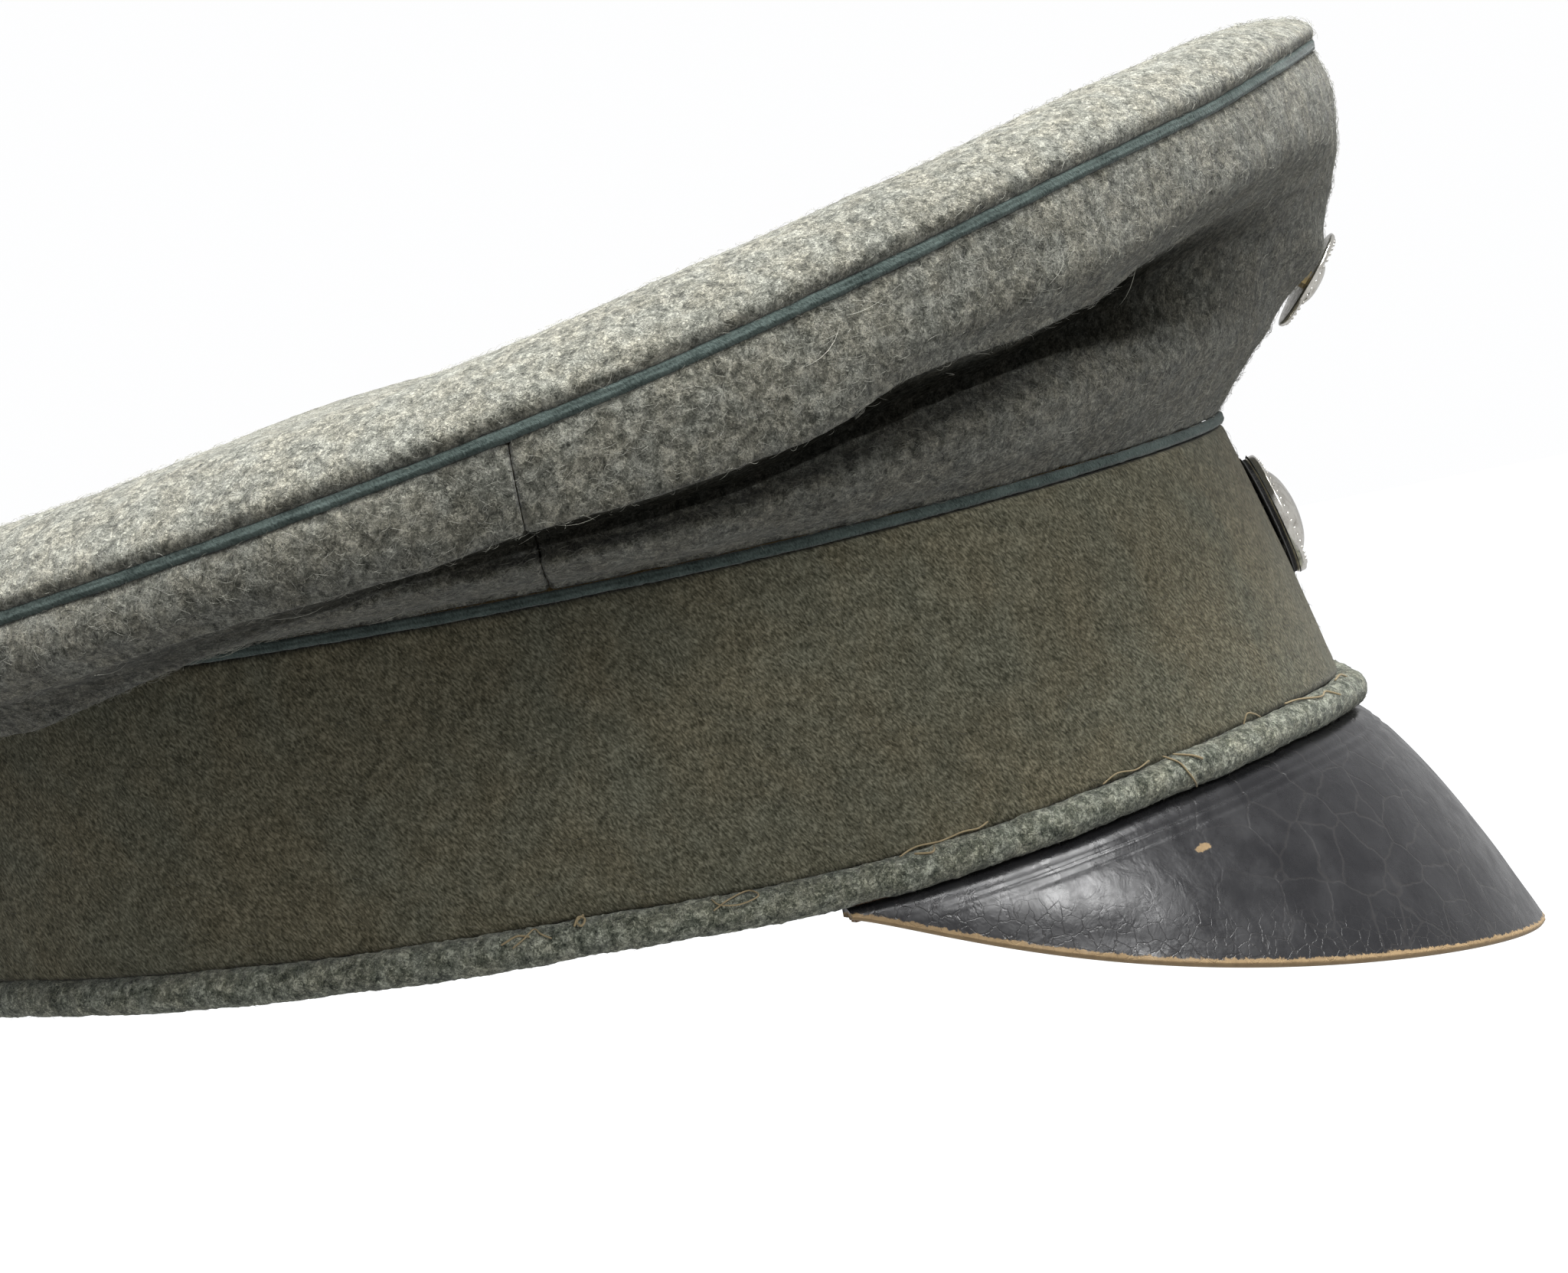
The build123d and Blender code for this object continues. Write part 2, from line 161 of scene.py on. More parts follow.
# ---- meshes ----------------------------------------------------------------
def mesh_object(name, points, faces, material, body="cap"):
    """An object from points in millimetres and arrays of faces, each array of one face size."""
    mesh = bpy.data.meshes.new(name)
    mesh.vertices.add(len(points))
    mesh.vertices.foreach_set("co", (points * MM).astype(np.float32).ravel())
    loops = np.concatenate([f.ravel() for f in faces]).astype(np.int32)
    sizes = np.concatenate([np.full(len(f), f.shape[1]) for f in faces])
    mesh.loops.add(len(loops))
    mesh.loops.foreach_set("vertex_index", loops)
    mesh.polygons.add(len(sizes))
    starts = np.concatenate([[0], np.cumsum(sizes)[:-1]]).astype(np.int32)
    mesh.polygons.foreach_set("loop_start", starts)
    mesh.update(calc_edges=True)
    mesh.validate()
    mesh.polygons.foreach_set("use_smooth", np.ones(len(mesh.polygons), bool))
    made = bpy.data.objects.new(name, mesh)
    bpy.context.scene.collection.objects.link(made)
    mesh.materials.append(material)
    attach(made, body)
    return made


def grid_faces(rows, columns, wrap_rows=False, wrap_columns=False, start=0):
    """Quads of a grid of points numbered row by row."""
    i = np.arange(rows if wrap_rows else rows - 1)[:, None]
    j = np.arange(columns if wrap_columns else columns - 1)[None, :]
    near, far = i * columns, (i + 1) % rows * columns
    left, right = j, (j + 1) % columns
    corners = [near + left, far + left, far + right, near + right]
    return np.stack(np.broadcast_arrays(*corners), -1).reshape(-1, 4) + start


def grid_normals(grid):
    normal = np.cross(np.gradient(grid, axis=0), np.gradient(grid, axis=1))
    return normal / np.maximum(np.linalg.norm(normal, axis=-1, keepdims=True), 1e-9)


def raised(grid, height):
    """The grid moved along its normals by an array of heights."""
    return grid + grid_normals(grid) * np.asarray(height)[..., None]


COARSER = 4  # points of a sheet's fine outer grid to one of its inner grid


def shell(name, outer, thickness, material):
    """A closed sheet: a fine outer grid and a coarser inner one, whose rims are joined."""
    rows, columns = outer.shape[:2]
    inner = raised(outer, np.full((rows, columns), -thickness))[::COARSER, ::COARSER]
    count = rows * columns
    fine = np.arange(count).reshape(rows, columns)
    rough = np.arange(inner[..., 0].size).reshape(inner.shape[:2]) + count
    faces = [grid_faces(rows, columns), grid_faces(*inner.shape[:2], start=count)[:, ::-1]]
    for fine_rim, rough_rim, flip in (
        (fine[0], rough[0], False), (fine[-1], rough[-1], True),
        (fine[:, 0], rough[:, 0], True), (fine[:, -1], rough[:, -1], False),
    ):
        spans = np.arange(len(rough_rim) - 1)
        strip = [rough_rim[spans + 1], rough_rim[spans]]
        strip += [fine_rim[spans * COARSER + k] for k in range(COARSER + 1)]
        strip = np.stack(strip, -1)
        faces.append(strip[:, ::-1] if flip else strip)
    points = np.concatenate([outer.reshape(-1, 3), inner.reshape(-1, 3)])
    return mesh_object(name, points, faces, material)


def closed_strip(name, grid, material, body="cap"):
    """A solid strip: rows of closed sections, with a face at each end."""
    rows, columns = grid.shape[:2]
    ends = np.stack([np.arange(columns)[::-1], np.arange(columns) + (rows - 1) * columns])
    faces = [grid_faces(rows, columns, wrap_columns=True), ends]
    return mesh_object(name, grid.reshape(-1, 3), faces, material, body)


def attribute(made, name, values):
    made.data.attributes.new(name, "FLOAT", "POINT")
    made.data.attributes[name].data.foreach_set("value", np.asarray(values, np.float32).ravel())


def ring_tube(name, angles, centre, offsets, material):
    """A cord round the cap: offsets(angle, turn) gives its section about its centre line."""
    turns = np.linspace(0, 360, 29)[:-1]
    a, t = np.meshgrid(angles, turns, indexing="ij")
    radius, height = centre(a)
    out, up = offsets(a, t)
    grid = place(a, radius + out, height + up)
    return mesh_object(name, grid.reshape(-1, 3), [grid_faces(*a.shape, True, True)], material), grid


ROD_SIDES = 7


def tube_parts(path, radius):
    """Points and faces of a closed round rod along a path."""
    tangent = np.gradient(path, axis=0)
    tangent /= np.linalg.norm(tangent, axis=1, keepdims=True)
    side = np.cross(tangent, (0.31, 0.22, 0.93))
    side /= np.linalg.norm(side, axis=1, keepdims=True)
    other = np.cross(tangent, side)
    turn = rad(np.arange(ROD_SIDES) * 360 / ROD_SIDES)[None, :, None]
    ring = np.cos(turn) * side[:, None] + np.sin(turn) * other[:, None]
    points = (path[:, None] + radius * ring).reshape(-1, 3)
    first, last = len(points), len(points) + 1
    points = np.concatenate([points, [path[0] - tangent[0] * radius, path[-1] + tangent[-1] * radius]])
    quads = grid_faces(len(path), ROD_SIDES, wrap_columns=True)
    k = np.arange(ROD_SIDES)
    after = (k + 1) % ROD_SIDES
    base = (len(path) - 1) * ROD_SIDES
    caps = np.concatenate([
        np.stack([np.full(ROD_SIDES, first), k, after], -1),
        np.stack([np.full(ROD_SIDES, last), base + after, base + k], -1),
    ])
    return points, quads, caps


def joined(parts):
    """Points and arrays of faces of many parts, numbered as one mesh."""
    points, counts = [p[0] for p in parts], np.cumsum([0] + [len(p[0]) for p in parts])
    faces = [np.concatenate([f + n for f, n in zip(kind, counts)]) for kind in zip(*[p[1:] for p in parts])]
    return np.concatenate(points), faces


def tubes(name, paths, radii, material, body="cap"):
    """Many rods in one piece."""
    points, faces = joined([tube_parts(path, radius) for path, radius in zip(paths, radii)])
    return mesh_object(name, points, faces, material, body)


def smooth_curve(points, at):
    """A smooth curve through points, at these places along their last axis but one."""
    last = points.shape[-2] - 1
    i = np.clip(at.astype(int), 0, last - 1)
    t = (at - i)[:, None]
    a, b = points[..., i, :], points[..., i + 1, :]
    before, after = points[..., np.maximum(i - 1, 0), :], points[..., np.minimum(i + 2, last), :]
    return 0.5 * (2 * a + (b - before) * t + (2 * before - 5 * a + 4 * b - after) * t ** 2
                  + (3 * a - before - 3 * b + after) * t ** 3)


def smooth_path(points, count):
    """A smooth curve of count points through a few points."""
    points = np.asarray(points, float)
    return smooth_curve(points, np.linspace(0, len(points) - 1, count))


def profile_curve(controls, count):
    """Rows of smooth, evenly spaced curves; controls is rows x points x (radius, height, more)."""
    last = controls.shape[1] - 1
    curve = smooth_curve(controls, np.linspace(0, last, last * 12 + 1))
    lengths = np.linalg.norm(np.diff(curve[..., :2], axis=1), axis=-1)
    run = np.concatenate([np.zeros((len(curve), 1)), np.cumsum(lengths, 1)], 1)
    even = []
    for row, distance in zip(curve, run):
        s = np.linspace(0, distance[-1], count)
        even.append(np.stack([np.interp(s, distance, value) for value in row.T], -1))
    return np.array(even)


# ---- materials -------------------------------------------------------------
# Painted shade: this tint darkens the crown cloth's colour in the pockets under its folds, where the folds
# shade it.
FOLD_SHADE_TINT = (0.13, 0.13, 0.13)


class Nodes:
    """A small writer of shader nodes."""

    def __init__(self, tree):
        self.tree = tree

    def wire(self, value, socket):
        if isinstance(value, bpy.types.NodeSocket):
            self.tree.links.new(value, socket)
        else:
            socket.default_value = value

    def node(self, kind, inputs=None, **settings):
        """A new node; inputs gives numbers or other nodes' sockets for its own sockets."""
        made = self.tree.nodes.new(kind)
        for key, value in settings.items():
            setattr(made, key, value)
        for key, value in (inputs or {}).items():
            self.wire(value, made.inputs[key])
        return made


class Material(Nodes):
    def __init__(self, name, **constants):
        self.material = bpy.data.materials.new(name)
        self.material.use_nodes = True
        super().__init__(self.material.node_tree)
        self.shader = self.tree.nodes["Principled BSDF"]
        self.set(**constants)
        self.coordinates = self.node("ShaderNodeTexCoord").outputs["Object"]

    def set(self, **values):
        for key, value in values.items():
            self.wire(value, self.shader.inputs[key.replace("_", " ")])

    def moved(self, scale=(1, 1, 1), turn=0, shift=(0, 0, 0), vector=None):
        """Coordinates scaled, turned about z in degrees and shifted in metres."""
        made = self.node("ShaderNodeMapping", {
            "Vector": vector or self.coordinates, "Scale": scale, "Location": shift,
            "Rotation": (0, 0, float(np.radians(turn))),
        })
        return made.outputs["Vector"]

    def noise(self, size, detail=2.0, roughness=0.5, distortion=0.0, vector=None, output="Fac"):
        """Noise with lumps of about this size in millimetres."""
        made = self.node("ShaderNodeTexNoise", {
            "Vector": vector or self.coordinates, "Scale": 1 / (size * MM), "Detail": detail,
            "Roughness": roughness, "Distortion": distortion,
        })
        return made.outputs[output]

    def warped(self, amount, size=2.0):
        """Coordinates pushed about by noise, by about this many millimetres."""
        made = self.node("ShaderNodeVectorMath", {
            0: self.noise(size, output="Color"), 1: (amount * MM,) * 3, 2: self.coordinates,
        }, operation="MULTIPLY_ADD")
        return made.outputs[0]

    def cracks(self, size, width, vector):
        """1 along the edges of uneven cells of this size, 0 elsewhere."""
        cells = {"Vector": vector, "Scale": 1 / (size * MM)}
        made = self.node("ShaderNodeTexVoronoi", cells, feature="DISTANCE_TO_EDGE")
        return self.fit(made.outputs["Distance"], 0, width, 1, 0)

    def fit(self, value, low, high, to_low=0.0, to_high=1.0):
        made = self.node("ShaderNodeMapRange", {
            "Value": value, "From Min": low, "From Max": high, "To Min": to_low, "To Max": to_high,
        }, interpolation_type="SMOOTHSTEP")
        return made.outputs["Result"]

    def math(self, operation, a, b=0.0):
        return self.node("ShaderNodeMath", {0: a, 1: b}, operation=operation).outputs[0]

    def times(self, a, b):
        return self.math("MULTIPLY", a, b)

    def sum(self, a, share_a, b, share_b):
        return self.math("ADD", self.times(a, share_a), self.times(b, share_b))

    def mix(self, share, a, b, blend="MIX"):
        a, b = (c if isinstance(c, bpy.types.NodeSocket) else (*c, 1) for c in (a, b))
        made = self.node("ShaderNodeMix", {0: share, 6: a, 7: b}, data_type="RGBA", blend_type=blend)
        return made.outputs[2]

    def tinted(self, colour, tint):
        return self.mix(1.0, colour, tint, "MULTIPLY")

    def ramp(self, value, *stops):
        made = self.node("ShaderNodeValToRGB", {0: value})
        elements = made.color_ramp.elements
        for i, (position, colour) in enumerate(stops):
            element = elements[i] if i < 2 else elements.new(position)
            element.position = position
            element.color = (*colour, 1)
        return made.outputs[0]

    def painted(self, name):
        """A value stored on the points of the mesh."""
        return self.node("ShaderNodeAttribute", attribute_name=name).outputs["Fac"]

    def around(self):
        """Distance round the cap and height, as a vector, for directional textures."""
        x, y, z = self.node("ShaderNodeSeparateXYZ", {0: self.coordinates}).outputs
        along = self.times(self.math("ARCTAN2", x, y), 0.1)
        return self.node("ShaderNodeCombineXYZ", {0: along, 1: z}).outputs[0]

    def thread_lines(self, value):
        """Thin curly lines where a noise passes its middle."""
        off = self.math("ABSOLUTE", self.math("SUBTRACT", value, 0.5))
        return self.fit(off, 0.0, 0.035, 1, 0)

    def bump(self, height, depth, under=None):
        """Fine relief, depth in millimetres, over another relief."""
        made = self.node("ShaderNodeBump", {"Height": height, "Distance": depth * MM, "Strength": 1.0})
        if under:
            self.wire(under, made.inputs["Normal"])
        self.set(Normal=made.outputs[0])
        return made.outputs[0]


def mottled_wool(name, dark, middle, light, fibre):
    """Fulled field-coloured wool: fine salt and pepper under a tangle of pale fibres."""
    m = Material(name, Roughness=0.95, Sheen_Roughness=0.45)
    blotch = m.noise(1.4, 3, 0.6, 0.5)
    grain = m.noise(0.5, 3, 0.75, 1.2, m.moved(shift=(0.31, 0.12, 0.7)))
    colour = m.ramp(m.sum(blotch, 0.42, grain, 0.58), (0.385, dark), (0.635, light), (0.505, middle))
    tangle = m.thread_lines(m.noise(1.5, 1, 0.4, 2.6, m.moved(shift=(0.4, 0.2, 0.1))))
    crossing = m.thread_lines(m.noise(0.9, 1, 0.4, 2.0, m.moved(shift=(0.9, 0.6, 0.3))))
    fibres = m.times(m.math("MAXIMUM", tangle, crossing), m.fit(m.noise(1.4, 1), 0.4, 0.7))
    colour = m.mix(m.times(fibres, 0.4), colour, fibre)
    hue = m.fit(m.noise(5.0, 2, 0.6, 0.0, m.moved(shift=(0.2, 0.5, 0.8))), 0.35, 0.65)
    wear = m.fit(m.noise(30, 3, 0.6), 0.3, 0.7)
    colour = m.tinted(colour, m.mix(hue, (1.02, 1.0, 0.95), (0.98, 1.0, 1.0)))
    colour = m.tinted(colour, m.mix(wear, (0.92, 0.92, 0.92), (1.08, 1.08, 1.08)))
    # Painted shade: a value stored on the crown's points darkens the colour and takes away sheen and
    # specular in the pockets under its folds.
    fold_shade = m.painted("fold_shade")
    m.set(Sheen_Weight=m.fit(fold_shade, 0, 1, 0.2, 0), Specular_IOR_Level=m.fit(fold_shade, 0, 1, 0.15, 0),
          Base_Color=m.mix(fold_shade, colour, m.tinted(colour, FOLD_SHADE_TINT)))
    relief = m.sum(grain, 0.7, fibres, 0.3)
    m.bump(m.math("ADD", relief, m.times(blotch, 0.7)), 0.42)
    return m.material


def napped_wool(name, dark, middle, light):
    """Dense dark wool whose nap lies in short slanting streaks."""
    m = Material(name, Roughness=0.95, Sheen_Weight=0.2, Sheen_Roughness=0.4, Specular_IOR_Level=0.12)
    streak = m.noise(0.3, 2, 0.65, 0.4, m.moved((1, 0.38, 1), vector=m.moved(turn=38, vector=m.around())))
    patch = m.noise(2.2, 3, 0.6, 0.4, m.moved(shift=(0.6, 0.1, 0.2)))
    colour = m.ramp(m.sum(streak, 0.74, patch, 0.26), (0.36, dark), (0.65, light), (0.5, middle))
    age = m.fit(m.noise(17, 4, 0.62, 0.3), 0.3, 0.7)
    m.set(Base_Color=m.tinted(colour, m.mix(age, (1.05, 1.0, 0.93), (0.95, 0.99, 1.0))))
    m.bump(m.sum(streak, 0.8, m.noise(0.3, 2, 0.6), 0.3), 0.15)
    return m.material


def piping_wool(name, dark, light):
    """Fine smooth wool of the piping, with a faint twill round the cord."""
    m = Material(name, Roughness=0.9, Sheen_Weight=0.25, Sheen_Roughness=0.4, Specular_IOR_Level=0.15)
    twill = m.noise(0.24, 2, 0.6, 0.4, m.moved((1, 0.5, 1), vector=m.moved(turn=30, vector=m.around())))
    tone = m.sum(twill, 0.6, m.noise(3.5, 3, 0.6), 0.4)
    m.set(Base_Color=m.ramp(tone, (0.34, dark), (0.66, light)))
    m.bump(twill, 0.14)
    return m.material


def woven(name, colour, dark, pitch, sheen=0.2, roughness=0.7):
    """Plain weave: warp and weft ribs of one thread pitch in millimetres."""
    m = Material(name, Roughness=roughness, Sheen_Weight=sheen, Specular_IOR_Level=0.25)
    ribs = [
        m.node("ShaderNodeTexWave", {
            "Vector": m.moved(turn=turn, vector=m.around()), "Scale": 0.5 / (pitch * MM) / np.pi,
            "Distortion": 0.6, "Detail": 1.0,
        }, wave_type="BANDS", bands_direction="X").outputs["Fac"]
        for turn in (0, 90)
    ]
    weave = m.math("MAXIMUM", *ribs)
    stain = m.fit(m.noise(26, 4, 0.6, 0.4), 0.32, 0.7)
    aged = m.mix(m.times(stain, 0.5), colour, dark)
    m.set(Base_Color=m.mix(m.times(m.fit(weave, 0.2, 0.9, 1, 0), 0.35), aged, dark))
    m.bump(weave, 0.16)
    return m.material


def leather(name, colour, dark, roughness):
    """Plain vegetable-tanned leather, darker where it has been handled."""
    m = Material(name, Specular_IOR_Level=0.4)
    pores = m.cracks(0.7, 0.35, m.moved(vector=m.warped(0.4)))
    shade = m.mix(m.fit(m.noise(14, 5, 0.65, 0.6), 0.3, 0.72), colour, dark)
    m.set(Base_Color=m.mix(m.times(pores, 0.35), shade, dark),
          Roughness=m.fit(m.noise(5, 4, 0.6), 0.3, 0.7, roughness - 0.12, roughness + 0.15))
    m.bump(m.math("SUBTRACT", m.noise(0.5, 3, 0.6), m.times(pores, 0.6)), 0.12)
    return m.material


def lacquered_leather(name):
    """Black lacquer, crazed all over and worn to the tan leather at its rim and in a chip."""
    m = Material(name, IOR=1.5, Coat_Weight=0.25, Coat_Roughness=0.22)
    wide = m.cracks(7.5, 0.035, m.warped(2.2, 4.0))
    fine = m.cracks(2.1, 0.05, m.warped(0.9, 1.4))
    near_rim = m.math("ADD", m.painted("rim_nearness"), m.times(m.noise(7), 0.5))
    crazed = m.math("MAXIMUM", m.times(wide, m.fit(m.painted("front_share"), 0.25, 0.8)),
                    m.times(fine, m.fit(near_rim, 0.45, 0.95)))
    cloud = m.fit(m.noise(9, 4, 0.6, 0.5), 0.35, 0.7)
    black = m.mix(cloud, (0.010, 0.010, 0.012), (0.021, 0.021, 0.023))
    black = m.mix(m.times(crazed, 0.35), black, (0.045, 0.042, 0.04))
    ragged = m.times(m.math("SUBTRACT", m.noise(1.1, 4, 0.7), 0.5), 0.9)
    chipped = m.fit(m.math("ADD", m.painted("bare"), ragged), 0.45, 0.6)
    tan = m.mix(m.noise(1.3, 4, 0.7), (0.17, 0.11, 0.05), (0.40, 0.28, 0.145))
    gloss = m.fit(m.noise(4.5, 5, 0.7), 0.3, 0.75, 0.2, 0.42)
    m.set(Base_Color=m.mix(chipped, black, tan), Roughness=m.math("MAXIMUM", gloss, m.times(chipped, 0.85)))
    waves = m.bump(m.noise(3.0, 3, 0.55, 0.4), 0.12)
    m.bump(m.math("SUBTRACT", 1.0, crazed), 0.035, under=waves)
    return m.material


def metal(name, colour, dark, roughness):
    """Stamped metal, darker in patches of noise."""
    m = Material(name, Metallic=1.0)
    dark_patches = m.fit(m.noise(2.6, 5, 0.7, 0.4), 0.42, 0.72)
    grain = m.noise(0.6, 4, 0.6)
    m.set(Base_Color=m.mix(m.times(dark_patches, 0.5), colour, dark),
          Roughness=m.fit(grain, 0.3, 0.7, roughness, roughness + 0.15))
    m.bump(grain, 0.03)
    return m.material


def twisted_thread(name, colour, dark):
    m = Material(name, Roughness=0.6, Sheen_Weight=0.2)
    m.set(Base_Color=m.mix(m.noise(0.5, 4, 0.6), colour, dark))
    m.bump(m.noise(0.12), 0.05)
    return m.material


def lumpy(name, colour, dark, size=3.0):
    m = Material(name, Roughness=0.95, Sheen_Weight=0.3)
    m.set(Base_Color=m.mix(m.fit(m.noise(size, 5, 0.65, 0.8), 0.3, 0.7), colour, dark))
    m.bump(m.noise(size / 4, 4, 0.7), 0.4)
    return m.material


def amber_sheet(name):
    m = Material(name, Transmission_Weight=0.7, IOR=1.5)
    m.set(Base_Color=m.mix(m.noise(18, 4, 0.6), (0.9, 0.66, 0.28), (0.72, 0.44, 0.14)),
          Roughness=m.fit(m.noise(6, 5, 0.7), 0.3, 0.7, 0.08, 0.3))
    m.bump(m.noise(9), 0.3)
    return m.material


CROWN_WOOL = mottled_wool(
    "crown_wool", (0.028, 0.029, 0.023), (0.115, 0.115, 0.096), (0.34, 0.335, 0.285), (0.5, 0.5, 0.43))
WELT_WOOL = mottled_wool(
    "welt_wool", (0.025, 0.03, 0.022), (0.15, 0.16, 0.124), (0.55, 0.56, 0.46), (0.65, 0.66, 0.56))
BAND_WOOL = napped_wool("band_wool", (0.038, 0.037, 0.024), (0.102, 0.097, 0.068), (0.215, 0.205, 0.15))
PIPING_WOOL = piping_wool("piping_wool", (0.026, 0.038, 0.035), (0.1, 0.13, 0.12))
LINING = woven("lining_sateen", (0.40, 0.29, 0.13), (0.22, 0.14, 0.06), 0.4, 0.3, 0.5)
TAPE = woven("binding_tape", (0.16, 0.15, 0.11), (0.07, 0.065, 0.05), 0.7)
BOARD = woven("stiffened_board", (0.43, 0.34, 0.2), (0.25, 0.18, 0.09), 0.9)
COTTON = twisted_thread("cotton_cord", (0.62, 0.56, 0.44), (0.4, 0.34, 0.24))
WADDING = lumpy("wadding", (0.6, 0.57, 0.5), (0.38, 0.35, 0.29))
FELT = lumpy("black_felt", (0.02, 0.02, 0.019), (0.006, 0.006, 0.006), 1.2)
SWEAT_LEATHER = leather("sweat_leather", (0.30, 0.145, 0.055), (0.14, 0.06, 0.022), 0.42)
TAN_LEATHER = leather("tan_leather", (0.36, 0.21, 0.09), (0.2, 0.11, 0.045), 0.62)
LACQUER = lacquered_leather("black_lacquer")
SILVER = metal("silvered_metal", (0.90, 0.87, 0.80), (0.2, 0.17, 0.13), 0.1)
BRASS = metal("brass_prongs", (0.55, 0.42, 0.2), (0.2, 0.14, 0.07), 0.35)
STEEL = metal("spring_steel", (0.42, 0.42, 0.43), (0.16, 0.12, 0.1), 0.3)
THREAD = twisted_thread("tan_thread", (0.38, 0.30, 0.165), (0.21, 0.16, 0.08))
CROWN_FIBRE = twisted_thread("crown_fibre", (0.42, 0.42, 0.35), (0.12, 0.12, 0.10))
BAND_FIBRE = twisted_thread("band_fibre", (0.12, 0.115, 0.08), (0.05, 0.048, 0.033))
HAIR = twisted_thread("pale_hair", (0.55, 0.54, 0.46), (0.3, 0.3, 0.25))
AMBER = amber_sheet("amber_celluloid")


# ---- crown -----------------------------------------------------------------
# How the crown's side hangs, by polar angle. A shoulder of cloth rises from the band seam
# (out, up) and rolls over (roll); the side swells below the rim and folds under (drop below
# the rim, how far in from it); between them lies a pocket (how far in from the fold, and how
# far above it). The last column is painted shade: how much the pocket and its edges are darkened.
HANG = np.array([
    # angle  out   up    drop  in    tuck  rise  swell roll deep
    (0,      7.4,  9.3, 19.8,  0.7,  5.4, -9.2,  2.0, 0.0, 0.0),
    (4,      7.4,  9.3, 19.8,  0.7,  5.2, -9.2,  2.0, 0.0, 0.0),
    (9,      9.0,  9.6, 19.0,  0.5,  2.4, -8.8,  1.9, 0.0, 0.0),
    (14,     9.6,  9.8, 18.0,  2.0,  4.2, -8.2,  1.8, 0.0, 0.1),
    (25,     9.8, 11.2, 15.6,  5.2,  7.4, -5.4,  1.4, 0.1, 0.5),
    (35,    10.0, 13.0, 14.1,  5.6, 11.0, -6.8,  1.2, 0.5, 0.8),
    (40,     9.8, 13.6, 14.2,  5.4, 12.5, -6.4,  1.1, 0.7, 1.0),
    (46,     9.5, 14.4, 15.6,  5.2, 14.6, -5.2,  1.1, 1.0, 1.0),
    (52,     9.4, 13.4, 16.6,  4.6, 16.2, -3.9,  1.1, 1.0, 1.0),
    (58,     9.3, 12.2, 15.6,  4.0, 17.8, -3.6,  1.1, 1.0, 1.0),
    (62,     9.2, 10.9, 14.2,  3.0, 19.4, -4.2,  1.1, 1.0, 1.0),
    (66,     9.2,  9.6, 13.0,  1.9, 21.0, -5.0,  1.1, 1.0, 1.0),
    (70,     9.0,  8.2, 14.5,  0.9, 22.2, -3.8,  1.0, 1.0, 1.0),
    (74,     9.0,  7.2, 14.5,  0.7, 22.8, -3.1,  1.0, 1.0, 1.0),
    (82,     9.2,  5.9, 13.3,  0.5, 23.2, -1.9,  1.0, 1.0, 1.0),
    (90,     9.6,  5.4, 11.7,  0.6, 22.2, -1.1,  1.0, 0.9, 0.95),
    (101,   11.5,  4.2, 10.0,  1.2, 19.0, -0.6,  1.2, 0.5, 0.8),
    (115,   13.0,  0.2,  8.6,  2.5, 11.0, -0.8,  1.2, 0.0, 0.5),
    (130,   15.0, -6.6,  9.2,  3.5,  7.5,  0.4,  1.3, 0.0, 0.3),
    (180,    8.0, -4.4,  9.6,  4.6,  7.5,  2.5,  1.9, 0.0, 0.2),
])
RIM_PULL = 1.6  # of the rim inwards, at the very front
RIM_LIFT = 2.8  # of the rim upwards, there
SEAM_ANGLES = (0, 90, 180, 270)


def hang_at(angle):
    """The rows of HANG, eased between stations; the left side hangs nearly as the right."""
    off = np.abs(turned(angle))
    off = off + np.where(turned(angle) < 0, 3.0 * np.sin(2 * rad(off)), 0)
    near = np.linspace(-2.5, 2.5, 7)
    return [
        sum(np.interp(np.abs(off + s), HANG[:, 0], column) for s in near) / len(near)
        for column in HANG.T[1:]
    ]


def rim_radius(angle):
    """The crown's rim seam, drawn in a little at the very front."""
    return oval_radius(CROWN_RIM, angle) - RIM_PULL * np.exp(-(turned(angle) / 27) ** 2)


def rim_lift(angle):
    """How far the rim seam is pushed up at the very front by the stay behind it."""
    return RIM_LIFT * np.clip(1 - (turned(angle) / 38) ** 2, 0, 1) ** 1.2


